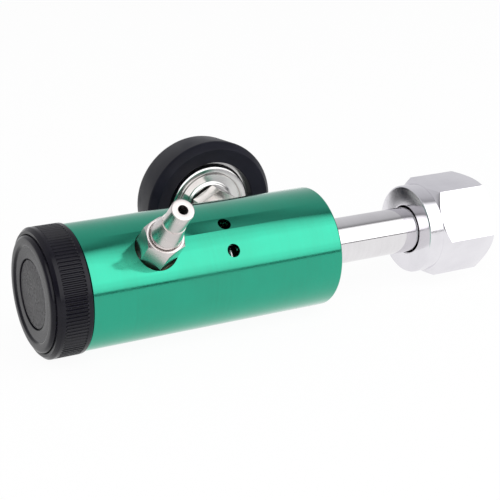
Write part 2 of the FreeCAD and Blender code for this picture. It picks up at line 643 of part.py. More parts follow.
# Pressure block: holds the inlet tube, carries high pressure to the gauge port and the nozzle,
# and guides the piston's stem, with the groove of the stem's sealing ring.
core = piece("core_block", CORE_FRONT)
GROOVE_END = "(core_length - 1.2 * ring_section)"
turned(core, "core_blank", [
    ("0", "tube_radius + slip"),
    ("0", BLOCK_RADIUS),
    ("-core_length", BLOCK_RADIUS),
    ("-core_length", STEM_BORE),
    ("-" + GROOVE_END, STEM_BORE),
    ("-" + GROOVE_END, STEM_BORE + " + 2 * ring_section"),
    ("-(%s - 2.2 * ring_section)" % GROOVE_END, STEM_BORE + " + 2 * ring_section"),
    ("-(%s - 2.2 * ring_section)" % GROOVE_END, STEM_BORE),
    ("-" + NOZZLE_FOOT, STEM_BORE),
    ("-" + NOZZLE_FOOT, "nozzle_foot"),
    ("-(%s + nozzle_rise)" % NOZZLE_FOOT, "nozzle_tip"),
    ("-(%s + nozzle_rise)" % NOZZLE_FOOT, "nozzle_hole"),
    ("-(socket_depth + chamber_length)", "nozzle_hole"),
    ("-(socket_depth + chamber_length)", "chamber_radius"),
    ("-socket_depth", "chamber_radius"),
    ("-socket_depth", "tube_radius + slip"),
])
drilled(core, "gauge_passage", "port_hole", "end_wall - gauge_place", "gauge_angle",
        "chamber_radius / 2", "body_radius")
drilled(core, "gauge_thread_hole", "port_thread + slip", "end_wall - gauge_place",
        "gauge_angle", PORT_SEAT + " - port_thread_length", "body_radius")
drilled(core, "gauge_spot_face", "port_radius + slip", "end_wall - gauge_place", "gauge_angle",
        PORT_SEAT, "body_radius")
sealing_ring("stem_o_ring", "%s - %s + 1.1 * ring_section" % (CORE_FRONT, GROOVE_END),
             STEM_BORE + " + ring_section")

# Piston: a hollow stem that carries the seat and a head that slides in the sleeve.
piston = piece("piston", HEAD_FRONT)
STEM_TIP = "(%s - %s)" % (SEAT_PLACE, HEAD_FRONT)
HEAD_RADIUS = "(body_radius - body_wall - run_fit)"
RING_FRONT = "(piston_head / 2 - 1.1 * ring_section)"
turned(piston, "piston_blank", [
    (STEM_TIP, "seat_radius"),
    (STEM_TIP, "stem_radius"),
    ("-piston_skirt_depth", "stem_radius"),
    ("-piston_skirt_depth", SPRING_RADIUS + " + 2 * spring_wire"),
    ("0", SPRING_RADIUS + " + 2 * spring_wire"),
    ("0", HEAD_RADIUS),
    ("-" + RING_FRONT, HEAD_RADIUS),
    ("-" + RING_FRONT, HEAD_RADIUS + " - 2 * ring_section"),
    ("-(%s + 2.2 * ring_section)" % RING_FRONT, HEAD_RADIUS + " - 2 * ring_section"),
    ("-(%s + 2.2 * ring_section)" % RING_FRONT, HEAD_RADIUS),
    ("-piston_head", HEAD_RADIUS),
    ("-piston_head", "stem_hole"),
    ("%s - seat_thickness - slip" % STEM_TIP, "stem_hole"),
    ("%s - seat_thickness - slip" % STEM_TIP, "seat_radius"),
])
drilled(piston, "cross_passage", "cross_hole",
        "%s - seat_thickness - 2 * cross_hole" % STEM_TIP, "0", "-body_radius", "2 * body_radius")
sealing_ring("piston_o_ring", "%s - piston_head / 2" % HEAD_FRONT,
             HEAD_RADIUS + " - ring_section")
seat = piece("piston_seat", SEAT_PLACE)
turned(seat, "seat_insert", [
    ("0", "0"),
    ("0", "seat_radius - slip"),
    ("-seat_thickness", "seat_radius - slip"),
    ("-seat_thickness", "0"),
])

# Piston spring: round wire between the pressure block and the recess in the piston's head.
SPRING_FRONT = "(%s - core_length - spring_wire)" % CORE_FRONT
SPRING_REAR = "(%s - piston_skirt_depth + spring_wire)" % HEAD_FRONT
coil = piece("piston_spring", SPRING_FRONT, "0", "0", "vector(0; 1; 0); -90")
wire = sketch_on(coil, "wire_section", "XZ_Plane")
draw_circle(wire, SPRING_RADIUS, "0", "spring_wire")
winding = coil.newObject("PartDesign::AdditiveHelix", "winding")
winding.Profile = wire
winding.ReferenceAxis = (wire, ["V_Axis"])
winding.Mode = "height-turns-angle"
SPRING_HEIGHT = "(%s - %s - open_gap)" % (SPRING_FRONT, SPRING_REAR)
winding.setExpression("Height", bind(SPRING_HEIGHT))
winding.setExpression("Turns", bind(SPRING_HEIGHT + " / spring_pitch"))
doc.recompute()

# Outlet block: takes low pressure through its feed hole to the orifice disc, and what the
# chosen orifice lets through back to the barb.
outlet = piece("outlet_block", OUTLET_FRONT)
turned(outlet, "outlet_blank", [
    ("0", "0"),
    ("0", BLOCK_RADIUS),
    ("-outlet_length", BLOCK_RADIUS),
    ("-outlet_length", "pilot_radius + run_fit"),
    ("-(outlet_length - pilot_length)", "pilot_radius + run_fit"),
    ("-(outlet_length - pilot_length)", "0"),
])
bored(outlet, "feed_passage", "feed_hole", "0", "outlet_length",
      BLOCK_RADIUS + " - feed_inset", "barb_angle + 180")
bored(outlet, "seal_pocket", "seal_radius", "-(outlet_length - seal_depth)", "seal_depth",
      "flow_circle", "barb_angle")
bored(outlet, "flow_bore", "flow_passage", "-barb_inset", "outlet_length - barb_inset",
      "flow_circle", "barb_angle")
drilled(outlet, "outlet_passage", "barb_bore", "-barb_inset", "barb_angle", "flow_circle",
        "body_radius")
drilled(outlet, "outlet_thread_hole", "barb_thread + slip", "-barb_inset", "barb_angle",
        BARB_SEAT + " - barb_thread_length", "body_radius")
drilled(outlet, "outlet_spot_face", "barb_counterbore", "-barb_inset", "barb_angle",
        BARB_SEAT, "body_radius")
seal = piece("outlet_seal", "%s + seal_depth" % OUTLET_REAR, "barb_angle", "flow_circle")
turned(seal, "seal_ring", [
    ("0", "flow_passage"),
    ("0", "seal_radius - slip"),
    ("-(seal_depth + open_gap)", "seal_radius - slip"),
    ("-(seal_depth + open_gap)", "flow_passage"),
])

# Orifice disc: twelve flow orifices and as many dimples for the detent ball.
disc = piece("orifice_disc", DISC_FRONT, "barb_angle")
turned(disc, "disc_blank", [
    ("0", "shaft_radius"),
    ("0", DISC_RADIUS),
    ("-disc_thickness", DISC_RADIUS),
    ("-disc_thickness", "shaft_radius"),
])
orifice = bored(disc, "orifice", "orifice_radius", "0", "disc_thickness", "flow_circle")
repeated(disc, "orifices", orifice, "orifice_count")
dimple = disc.newObject("PartDesign::SubtractiveSphere", "dimple")
dimple.AttachmentSupport = [(origin_feature(disc, "XY_Plane"), "")]
dimple.MapMode = "FlatFace"
dimple.setExpression("Radius", bind("detent_ball_radius + slip"))
dimple.setExpression("AttachmentOffset", bind(
    "placement(vector(-disc_thickness - detent_ball_radius + dimple_depth; 0; %s);"
    " rotation(vector(0; 1; 0); 90))" % DETENT_CIRCLE
))
doc.recompute()
repeated(disc, "dimples", dimple, "orifice_count")

# Selector shaft: from its pilot in the outlet block through the disc and the end cap to the
# knob, with a tapped hole for the knob's screw.
shaft = piece("selector_shaft", OUTLET_REAR)
SHAFT_RUN = "(%s - %s + %s)" % (OUTLET_REAR, KNOB_RIM, SHAFT_TIP)
turned(shaft, "shaft_blank", [
    ("pilot_length - open_gap", "0"),
    ("pilot_length - open_gap", "pilot_radius"),
    ("-open_gap", "pilot_radius"),
    ("-open_gap", "shaft_radius"),
    ("-" + SHAFT_RUN, "shaft_radius"),
    ("-" + SHAFT_RUN, "screw_radius"),
    ("-(%s - screw_length)" % SHAFT_RUN, "screw_radius"),
    ("-(%s - screw_length)" % SHAFT_RUN, "0"),
])

# End cap: a cup around the disc with the shaft's bearing in a long boss, and the pocket of the
# detent ball and its spring. A snap ring in the sleeve keeps it in.
cap = piece("end_cap", CAP_FACE)
CAP_RIM = "(%s - %s)" % (OUTLET_REAR, CAP_FACE)
CAP_BOSS = "(cap_plate + cap_boss_length)"
turned(cap, "cap_blank", [
    (CAP_RIM, BLOCK_RADIUS + " - cap_rim_wall"),
    (CAP_RIM, BLOCK_RADIUS),
    ("-cap_plate", BLOCK_RADIUS),
    ("-cap_plate", CAP_BOSS_RADIUS),
    ("-" + CAP_BOSS, CAP_BOSS_RADIUS),
    ("-" + CAP_BOSS, "shaft_radius + run_fit"),
    ("-(%s / 2 + 1.1 * ring_section)" % CAP_BOSS, "shaft_radius + run_fit"),
    ("-(%s / 2 + 1.1 * ring_section)" % CAP_BOSS, "shaft_radius + run_fit + 2 * ring_section"),
    ("-(%s / 2 - 1.1 * ring_section)" % CAP_BOSS, "shaft_radius + run_fit + 2 * ring_section"),
    ("-(%s / 2 - 1.1 * ring_section)" % CAP_BOSS, "shaft_radius + run_fit"),
    ("0", "shaft_radius + run_fit"),
    ("0", BLOCK_RADIUS + " - cap_rim_wall"),
])
bored(cap, "detent_hole", "detent_ball_radius + slip", "0", "detent_pocket", DETENT_CIRCLE,
      "barb_angle")
sealing_ring("shaft_o_ring", "%s - %s / 2" % (CAP_FACE, CAP_BOSS),
             "shaft_radius + run_fit + ring_section")
BALL_PLACE = "(%s - detent_gap - detent_ball_radius)" % DISC_REAR
ball = doc.addObject("Part::Sphere", "detent_ball")
ball.Label = "detent_ball"
ball.setExpression("Radius", bind("detent_ball_radius"))
placed(ball, BALL_PLACE, "barb_angle", DETENT_CIRCLE)
DETENT_RUN = "(%s - detent_ball_radius - %s + detent_pocket)" % (BALL_PLACE, CAP_FACE)
click = piece("detent_spring", "%s - detent_pocket" % CAP_FACE, "barb_angle", DETENT_CIRCLE)
turned(click, "spring_tube", [
    ("0", "detent_ball_radius / 2"),
    ("0", "detent_ball_radius - slip"),
    (DETENT_RUN, "detent_ball_radius - slip"),
    (DETENT_RUN, "detent_ball_radius / 2"),
])
snap = piece("snap_ring", CAP_BACK, "snap_opening / 2 - 90")
turned(snap, "snap_blank", [
    ("0", SLEEVE_BORE + " + snap_depth - slip - snap_width"),
    ("0", SLEEVE_BORE + " + snap_depth - slip"),
    ("-snap_thickness", SLEEVE_BORE + " + snap_depth - slip"),
    ("-snap_thickness", SLEEVE_BORE + " + snap_depth - slip - snap_width"),
], sweep="360 - snap_opening")

# Number ring: a cup on the knob's hub whose rim turns behind the flow window.
numbers = piece("number_ring", KNOB_RIM)
RING_FRONT_END = "(%s - snap_thickness - 2 * open_gap - %s)" % (CAP_BACK, KNOB_RIM)
turned(numbers, "number_drum", [
    ("-knob_inside", "knob_hub + slip"),
    ("-knob_inside", NUMBER_RADIUS),
    (RING_FRONT_END, NUMBER_RADIUS),
    (RING_FRONT_END, NUMBER_RADIUS + " - number_ring_wall"),
    ("-(knob_inside - number_ring_wall)", NUMBER_RADIUS + " - number_ring_wall"),
    ("-(knob_inside - number_ring_wall)", "knob_hub + slip"),
])

# Knob: a ribbed skirt, a raised rounded ring on its front, a flat face and a round recess for
# the plate that hides the screw.
knob = piece("knob", KNOB_RIM)
FRONT = "(knob_skirt + front_ring_rise)"
knob_blank = turned(knob, "knob_blank", [
    ("0", KNOB_BORE),
    ("0", KNOB_RADIUS + " - knob_edge"),
    ("-knob_edge", KNOB_RADIUS),
    ("-(knob_skirt - knob_edge)", KNOB_RADIUS),
    ("-knob_skirt", KNOB_RADIUS + " - knob_edge"),
    ("-knob_skirt", RING_OUTER),
    ("-" + FRONT, RING_OUTER),
    ("-" + FRONT, RING_INNER),
    ("-" + KNOB_FACE, RING_INNER + " - face_recess"),
    ("-" + KNOB_FACE, "plate_recess_radius"),
    ("-" + PLATE_FLOOR, "plate_recess_radius"),
    ("-" + PLATE_FLOOR, "screw_pocket_radius"),
    ("-" + SCREW_FLOOR, "screw_pocket_radius"),
    ("-" + SCREW_FLOOR, "screw_radius + slip"),
    ("-" + SHAFT_TIP, "screw_radius + slip"),
    ("-" + SHAFT_TIP, "shaft_radius + slip"),
    ("-open_gap", "shaft_radius + slip"),
    ("-open_gap", "knob_hub"),
    ("-knob_inside", "knob_hub"),
    ("-knob_inside", KNOB_BORE),
])
front_ring = rounded(knob, "front_ring_crest", knob_blank, "front_ring_round",
                     [("-" + FRONT, RING_OUTER)])
groove_sketch = sketch_on(knob, "rib_groove_outline", "YZ_Plane")
draw(groove_sketch, [
    ("-rib_groove_width / 2", KNOB_RADIUS + " + slip"),
    ("rib_groove_width / 2", KNOB_RADIUS + " + slip"),
    ("0", KNOB_RADIUS + " - rib_groove_depth"),
])
groove = knob.newObject("PartDesign::Pocket", "rib_groove")
groove.Profile = groove_sketch
groove.setExpression("Length", bind("knob_skirt + front_ring_rise"))
doc.recompute()
repeated(knob, "rib_grooves", groove, "rib_count")

plate = piece("knob_plate", "%s - %s" % (KNOB_RIM, PLATE_FLOOR))
plate_blank = turned(plate, "plate_blank", [
    ("0", "0"),
    ("0", "plate_recess_radius - plate_gap"),
    ("-plate_thickness", "plate_recess_radius - plate_gap"),
    ("-plate_thickness", "0"),
])
rounded(plate, "plate_edge", plate_blank, "plate_gap / 2",
        [("-plate_thickness", "plate_recess_radius - plate_gap")])
screw = piece("knob_screw", "%s - %s" % (KNOB_RIM, SCREW_FLOOR))
turned(screw, "screw_blank", [
    ("%s - %s + screw_length - 2 * open_gap" % (SCREW_FLOOR, SHAFT_TIP), "0"),
    ("%s - %s + screw_length - 2 * open_gap" % (SCREW_FLOOR, SHAFT_TIP), "screw_radius - slip"),
    ("0", "screw_radius - slip"),
    ("0", "screw_head_radius"),
    ("-screw_head_length", "screw_head_radius - slip * 4"),
    ("-screw_head_length", "0"),
])

# Outlet barb: a thread, a hexagon sunk in the sleeve's round opening, and the hose tail.
barb = piece("outlet_barb", BARB_X, "barb_angle", spin="vector(0; 0; 1); barb_turned")
BARB_TIP_END = "(%s - barb_tip_length)" % BARB_REACH
BARB_CONE_END = "(%s - barb_cone_length)" % BARB_TIP_END
BARB_HEX_TOP = "(%s - barb_neck_length)" % BARB_CONE_END
BARB_HEX_FOOT = "(%s + barb_washer)" % BARB_SEAT
turned(barb, "barb_blank", [
    (BARB_SEAT + " - barb_thread_length + open_gap", "barb_bore"),
    (BARB_SEAT + " - barb_thread_length + open_gap", "barb_thread"),
    (BARB_HEX_FOOT, "barb_thread"),
    (BARB_HEX_TOP, "barb_neck_radius + barb_step"),
    (BARB_HEX_TOP, "barb_neck_radius"),
    (BARB_CONE_END + " - barb_bead_length", "barb_neck_radius"),
    (BARB_CONE_END + " - barb_bead_length", "barb_bead_radius"),
    (BARB_CONE_END, "barb_bead_radius"),
    (BARB_CONE_END, "barb_cone_radius"),
    (BARB_TIP_END, "barb_tip_radius + barb_step"),
    (BARB_TIP_END, "barb_tip_radius"),
    (BARB_REACH + " - barb_step", "barb_tip_radius"),
    (BARB_REACH, "barb_tip_radius - barb_step"),
    (BARB_REACH, "barb_bore"),
], axis="Z")
sketch = sketch_on(barb, "barb_hexagon_outline", "XY_Plane", BARB_HEX_FOOT)
draw(sketch, hexagon("barb_across"))
draw_circle(sketch, "0", "0", "barb_bore + slip")
barb_hex = barb.newObject("PartDesign::Pad", "barb_hexagon")
barb_hex.Profile = sketch
barb_hex.setExpression("Length", bind("%s - %s" % (BARB_HEX_TOP, BARB_HEX_FOOT)))
doc.recompute()
BARB_CORNER = "(barb_across / cos(30) / 2 + slip)"
BARB_FLAT = "(barb_across / 2 - slip)"
turned(barb, "barb_corners", [
    (BARB_HEX_TOP, BARB_FLAT),
    (BARB_HEX_TOP, BARB_CORNER),
    ("%s - (%s - %s)" % (BARB_HEX_TOP, BARB_CORNER, BARB_FLAT), BARB_CORNER),
], cut=True, axis="Z")
washer = piece("barb_washer", BARB_X, "barb_angle")
turned(washer, "washer_ring", [
    (BARB_SEAT, "barb_thread + slip"),
    (BARB_SEAT, "barb_across / 2"),
    (BARB_HEX_FOOT, "barb_across / 2"),
    (BARB_HEX_FOOT, "barb_thread + slip"),
], axis="Z")

# Gauge port: a collar screwed into the pressure block through the sleeve, and the gauge's stem
# with its wrench hexagon, screwed into the collar.
port = piece("gauge_port", GAUGE_X, "gauge_angle")
port_blank = turned(port, "port_blank", [
    (PORT_SEAT + " - port_thread_length", "port_hole"),
    (PORT_SEAT + " - port_thread_length", "port_thread"),
    (PORT_SEAT, "port_thread"),
    (PORT_SEAT, "port_radius"),
    (PORT_TOP, "port_radius"),
    (PORT_TOP, "port_thread + slip"),
    (PORT_SOCKET, "port_thread + slip"),
    (PORT_SOCKET, "port_hole"),
], axis="Z")
rounded(port, "port_edge", port_blank, "edge_round", [(PORT_TOP, "port_radius")], axis="Z",
        chamfer=True)
stem = piece("gauge_stem", GAUGE_X, "gauge_angle", spin="vector(0; 0; 1); tube_start")
STEM_HEX_START = "(%s - stem_hex_lead)" % GAUGE_BACK
STEM_HEX_END = "(%s + stem_hex_length)" % STEM_HEX_START
STEM_TOP = "(%s + stem_inside)" % GAUGE_BACK
PLATE_FOOT = "(%s + plate_foot)" % GAUGE_BACK
PASSAGE_END = "(%s + arm_sheet / 2)" % STEM_TOP
TUBE_LOW = PLATE_FOOT
TUBE_OUTSIDE = "(tube_inside + tube_thickness)"
TUBE_MIDDLE = "(tube_inside + tube_thickness / 2)"
turned(stem, "stem_blank", [
    (PORT_SOCKET + " + open_gap", "port_hole"),
    (PORT_SOCKET + " + open_gap", "port_thread"),
    (STEM_HEX_END, "port_thread"),
    (STEM_HEX_END, "stem_neck"),
    (PLATE_FOOT, "stem_neck"),
    (PLATE_FOOT, "arbor_radius + pivot_fit"),
    (PASSAGE_END + " + arm_sheet / 4", "arbor_radius + pivot_fit"),
    (PASSAGE_END + " + arm_sheet / 4", "0"),
    (PASSAGE_END, "0"),
    (PASSAGE_END, "port_hole"),
], axis="Z")
sketch = sketch_on(stem, "stem_hexagon_outline", "XY_Plane", STEM_HEX_START)
draw(sketch, hexagon("stem_hex_across"))
draw_circle(sketch, "0", "0", "port_hole + slip")
stem_hex = stem.newObject("PartDesign::Pad", "stem_hexagon")
stem_hex.Profile = sketch
stem_hex.setExpression("Length", bind("stem_hex_length"))
doc.recompute()
padded(stem, "tube_arm", [
    ("stem_neck - arm_sheet", "block_half"),
    ("block_reach", "block_half"),
    ("block_reach", "-block_half"),
    ("stem_neck - arm_sheet", "-block_half"),
], STEM_TOP, "arm_sheet", axis="Z")
padded(stem, "tube_post", [
    ("block_reach - block_depth", "block_half"),
    ("block_reach", "block_half"),
    ("block_reach", "-block_half"),
    ("block_reach - block_depth", "-block_half"),
], STEM_TOP + " + arm_sheet / 2", "arm_sheet / 2 + tube_width + tip_sheet", axis="Z")
turned(stem, "tube_pocket", [
    (TUBE_LOW, "tube_inside - slip"),
    (TUBE_LOW, TUBE_OUTSIDE + " + slip"),
    (TUBE_LOW + " + tube_width + slip", TUBE_OUTSIDE + " + slip"),
    (TUBE_LOW + " + tube_width + slip", "tube_inside - slip"),
], cut=True, axis="Z", sweep="tube_closed * 5")
passage = stem.newObject("PartDesign::SubtractiveCylinder", "arm_passage")
passage.AttachmentSupport = [(origin_feature(stem, "XY_Plane"), "")]
passage.MapMode = "FlatFace"
passage.setExpression("AttachmentOffset", bind(
    "placement(vector(0; 0; %s + arm_sheet * 0.4);"
    " rotation(vector(0; 0; 1); tube_closed) * rotation(vector(0; 1; 0); 90))" % STEM_TOP
))
passage.setExpression("Radius", bind("arm_sheet / 6"))
passage.setExpression("Height", bind(TUBE_MIDDLE))
doc.recompute()
riser = stem.newObject("PartDesign::SubtractiveCylinder", "tube_passage")
riser.AttachmentSupport = [(origin_feature(stem, "XY_Plane"), "")]
riser.MapMode = "FlatFace"
riser.setExpression("AttachmentOffset", bind(
    "placement(vector(%s * cos(tube_closed); %s * sin(tube_closed); %s + arm_sheet / 5);"
    " rotation(vector(0; 0; 1); 0))" % (TUBE_MIDDLE, TUBE_MIDDLE, STEM_TOP)
))
riser.setExpression("Radius", bind("tube_sheet"))
riser.setExpression("Height", bind("arm_sheet"))
doc.recompute()

# Gauge case: a pressed steel cup with a stepped back, inside a rubber boot.
case = piece("gauge_case", GAUGE_X, "gauge_angle")
BACK_RING = "(%s + case_ring_drop)" % GAUGE_BACK
BACK_GROOVE = "(%s + case_groove_depth)" % GAUGE_BACK
RAISE = "(case_radius - case_raise_inset)"
GROOVE_OUTER = "(%s - case_groove_inset)" % RAISE
GROOVE_INNER = "(%s - case_groove_width)" % GROOVE_OUTER
INNER_BACK = "(%s + case_sheet)" % GAUGE_BACK
turned(case, "case_cup", [
    (GAUGE_BACK, "stem_neck + slip"),
    (GAUGE_BACK, GROOVE_INNER + " - case_sheet"),
    (BACK_GROOVE, GROOVE_INNER),
    (BACK_GROOVE, GROOVE_OUTER),
    (GAUGE_BACK, GROOVE_OUTER + " + case_sheet"),
    (GAUGE_BACK, RAISE + " - case_sheet"),
    (BACK_RING, RAISE),
    (BACK_RING, "case_radius"),
    (GAUGE_BACK + " + case_depth", "case_radius"),
    (GAUGE_BACK + " + case_depth", "case_radius - case_sheet"),
    (BACK_RING + " + case_sheet", "case_radius - case_sheet"),
    (BACK_RING + " + case_sheet", RAISE + " - case_sheet"),
    (INNER_BACK, RAISE + " - 2 * case_sheet"),
    (INNER_BACK, GROOVE_OUTER + " + case_sheet * 1.2"),
    (BACK_GROOVE + " + case_sheet", GROOVE_OUTER),
    (BACK_GROOVE + " + case_sheet", GROOVE_INNER),
    (INNER_BACK, GROOVE_INNER + " - case_sheet * 1.2"),
    (INNER_BACK, "stem_neck + slip"),
], axis="Z")
boot = piece("gauge_boot", GAUGE_X, "gauge_angle")
BOOT_BACK = "(%s - boot_lead)" % GAUGE_BACK
BOOT_FRONT = "(%s + boot_length)" % BOOT_BACK
BOOT_RADIUS = "(case_radius + boot_wall)"
BOOT_OPENING = "(case_radius - boot_opening_inset)"
BOOT_RIDGE = "(%s - boot_ridge_rise)" % BOOT_BACK
boot_blank = turned(boot, "boot_blank", [
    (BOOT_BACK, BOOT_OPENING),
    (BOOT_RIDGE, BOOT_RADIUS + " - boot_ridge_inset"),
    (BOOT_RIDGE + " + boot_edge_length", BOOT_RADIUS),
    (BOOT_FRONT, BOOT_RADIUS + " - boot_taper"),
    (BOOT_FRONT, "case_radius - boot_front_inset"),
    (BOOT_FRONT + " - boot_front_wall", "case_radius - boot_front_inset"),
    (BOOT_FRONT + " - boot_front_wall", "case_radius + slip"),
    (BACK_RING + " - slip", "case_radius + slip"),
    (BACK_RING + " - slip", BOOT_OPENING),
], axis="Z")
rounded(boot, "boot_front_edge", boot_blank, "boot_front_round",
        [(BOOT_FRONT, BOOT_RADIUS + " - boot_taper")], axis="Z")

# Movement plates: the back plate on the stem's block, the front plate on two pillars, each with
# bearings for the pointer's shaft and the sector's pivot.
SECTOR_PLACE = "(pinion_radius + sector_radius)"
PLATE_BACK = PLATE_FOOT
ROOM_BACK = "(%s + plate_sheet)" % PLATE_BACK
ROOM_FRONT = "(%s + plate_room)" % ROOM_BACK
PLATE_FRONT = "(%s + plate_sheet)" % ROOM_FRONT
PLATE_OUTLINE = [
    ("-plate_tail", "plate_tail_half"),
    ("-plate_tail", "-plate_tail_half"),
    ("plate_end / 2", "-plate_half"),
    ("plate_end", "-plate_half * 3 / 4"),
    ("plate_end", "plate_half"),
    ("plate_end / 2", "plate_half"),
]
for plate_name, plate_start in (("movement_back_plate", PLATE_BACK),
                                ("movement_front_plate", ROOM_FRONT)):
    movement_plate = piece(plate_name, GAUGE_X, "gauge_angle",
                           spin="vector(0; 0; 1); sector_angle")
    sketch = sketch_on(movement_plate, plate_name + "_outline", "XY_Plane", plate_start)
    draw(sketch, PLATE_OUTLINE)
    draw_circle(sketch, "0", "0", "arbor_radius + pivot_fit")
    draw_circle(sketch, SECTOR_PLACE, "0", "sector_pivot + pivot_fit")
    pad = movement_plate.newObject("PartDesign::Pad", plate_name + "_pad")
    pad.Profile = sketch
    pad.setExpression("Length", bind("plate_sheet"))
    doc.recompute()
NEAR_PILLAR = ("(%s + pillar_reach * cos(pillar_angle))" % SECTOR_PLACE,
               "(pillar_reach * sin(pillar_angle))")
FAR_PILLAR = ("(-far_pillar)", "0")
for pillar_name, (across, up) in (("near_pillar_post", NEAR_PILLAR),
                                   ("far_pillar_post", FAR_PILLAR)):
    pillar = piece(pillar_name, GAUGE_X, "gauge_angle")
    shifted(pillar, GAUGE_X, "gauge_angle",
            "%s * cos(sector_angle) - %s * sin(sector_angle)" % (across, up),
            "%s * sin(sector_angle) + %s * cos(sector_angle)" % (across, up))
    turned(pillar, pillar_name + "_turned", [
        (ROOM_BACK, "0"),
        (ROOM_BACK, "pillar_radius"),
        (ROOM_FRONT, "pillar_radius"),
        (ROOM_FRONT, "0"),
    ], axis="Z")

# Sector: a toothed rim on a web, its pivot, and the tail with the pin that the link pulls.
sector = piece("gauge_sector")
shifted(sector, GAUGE_X, "gauge_angle", "%s * cos(sector_angle)" % SECTOR_PLACE,
        "%s * sin(sector_angle)" % SECTOR_PLACE, "sector_angle + sector_start")
SECTOR_BACK = "(%s + 2 * open_gap / 3 * 2)" % ROOM_BACK
SECTOR_FRONT = "(%s + sector_sheet)" % SECTOR_BACK
turned(sector, "sector_hub", [
    (PLATE_BACK + " + pivot_fit", "0"),
    (PLATE_BACK + " + pivot_fit", "sector_pivot"),
    (SECTOR_BACK, "sector_pivot"),
    (SECTOR_BACK, "tail_width / 2"),
    (SECTOR_FRONT, "tail_width / 2"),
    (SECTOR_FRONT, "sector_pivot"),
    (PLATE_FRONT + " - pivot_fit", "sector_pivot"),
    (PLATE_FRONT + " - pivot_fit", "0"),
], axis="Z")
turned(sector, "sector_web", [
    (SECTOR_BACK, "sector_pivot / 2"),
    (SECTOR_BACK, "sector_radius - tooth_root"),
    (SECTOR_FRONT, "sector_radius - tooth_root"),
    (SECTOR_FRONT, "sector_pivot / 2"),
], axis="Z", sweep="sector_teeth * sector_step", middle=True)
turned(sector, "sector_window", [
    (SECTOR_BACK, "sector_rim + tail_width"),
    (SECTOR_BACK, "sector_radius - tooth_root - sector_rim"),
    (SECTOR_FRONT, "sector_radius - tooth_root - sector_rim"),
    (SECTOR_FRONT, "sector_rim + tail_width"),
], cut=True, axis="Z", sweep="(sector_teeth - 5) * sector_step", middle=True)


def tooth(root, crest):
    """Corners of one straight-sided tooth that points along the first direction."""
    return [
        (root + " - tooth_root", "tooth_foot"),
        (root + " - tooth_root", "-tooth_foot"),
        (crest, "-tooth_crest"),
        (crest, "tooth_crest"),
    ]


SECTOR_TOOTH = tooth("(sector_radius - tooth_root)", "(sector_radius + tooth_rise)")
FIRST_TOOTH = "(-(sector_teeth - 1) * sector_step / 2)"
first = padded(sector, "sector_tooth", spun(SECTOR_TOOTH, FIRST_TOOTH), SECTOR_BACK,
               "sector_sheet", axis="Z")
repeated(sector, "sector_toothing", first, "sector_teeth", "Z_Axis",
         "(sector_teeth - 1) * sector_step")
TAIL = "(tail_angle - sector_start)"
padded(sector, "sector_tail", spun([
    ("0", "tail_width / 2"),
    ("0", "-tail_width / 2"),
    ("tail_length + tail_width / 2", "-tail_width / 2"),
    ("tail_length + tail_width / 2", "tail_width / 2"),
], TAIL), SECTOR_BACK, "sector_sheet", axis="Z")
LINK_BACK = "(%s + 2 * open_gap / 3)" % SECTOR_FRONT
LINK_FRONT = "(%s + link_sheet)" % LINK_BACK
tail_pin = sketch_on(sector, "tail_pin_outline", "XY_Plane", SECTOR_FRONT + " - sector_sheet / 2")
draw_circle(tail_pin, "tail_length * cos(%s)" % TAIL, "tail_length * sin(%s)" % TAIL,
            "pin_radius")
pin = sector.newObject("PartDesign::Pad", "tail_pin")
pin.Profile = tail_pin
pin.setExpression("Length", bind("%s - %s + sector_sheet / 2" % (LINK_FRONT, SECTOR_FRONT)))
doc.recompute()

# Link: from the sector's tail to the slot in the pressure tube's tip.
TAIL_ACROSS = "(%s + tail_length * cos(tail_angle))" % SECTOR_PLACE
TAIL_UP = "(tail_length * sin(tail_angle))"
link = piece("gauge_link")
shifted(link, GAUGE_X, "gauge_angle",
        "%s * cos(sector_angle) - %s * sin(sector_angle)" % (TAIL_ACROSS, TAIL_UP),
        "%s * sin(sector_angle) + %s * cos(sector_angle)" % (TAIL_ACROSS, TAIL_UP),
        "sector_angle")
sketch = sketch_on(link, "link_outline", "XY_Plane", LINK_BACK)
draw(sketch, [
    ("-tail_width / 2", "tail_width / 2"),
    ("-tail_width / 2", "-tail_width / 2"),
    ("link_length + tail_width / 2", "-tail_width / 2"),
    ("link_length + tail_width / 2", "tail_width / 2"),
])
draw_circle(sketch, "0", "0", "pin_radius + pivot_fit")
pad = link.newObject("PartDesign::Pad", "link_bar")
pad.Profile = sketch
pad.setExpression("Length", bind("link_sheet"))
doc.recompute()
LUG_BACK = "(%s + open_gap)" % LINK_FRONT
sketch = sketch_on(link, "tip_pin_outline", "XY_Plane", LINK_FRONT + " - link_sheet / 2")
draw_circle(sketch, "link_length", "0", "pin_radius")
pad = link.newObject("PartDesign::Pad", "tip_pin")
pad.Profile = sketch
pad.setExpression("Length", bind("link_sheet / 2 + open_gap + tip_sheet + open_gap"))
doc.recompute()

# Pressure tube: a flattened tube bent around the movement, open to the stem's passage at one
# end and closed at the other, where a slotted lug holds the pin of the link.
bend = piece("pressure_tube", GAUGE_X, "gauge_angle", spin="vector(0; 0; 1); tube_start")
turned(bend, "tube_bend", [
    (TUBE_LOW, "tube_inside"),
    (TUBE_LOW, TUBE_OUTSIDE),
    (TUBE_LOW + " + tube_width", TUBE_OUTSIDE),
    (TUBE_LOW + " + tube_width", "tube_inside"),
], axis="Z", sweep="tube_sweep")
turned(bend, "tube_channel", [
    (TUBE_LOW + " + tube_sheet", "tube_inside + tube_sheet"),
    (TUBE_LOW + " + tube_sheet", TUBE_OUTSIDE + " - tube_sheet"),
    (TUBE_LOW + " + tube_width - tube_sheet", TUBE_OUTSIDE + " - tube_sheet"),
    (TUBE_LOW + " + tube_width - tube_sheet", "tube_inside + tube_sheet"),
], cut=True, axis="Z", sweep="tube_sweep - tube_closed")
PIN_ACROSS = "(%s + link_length)" % TAIL_ACROSS
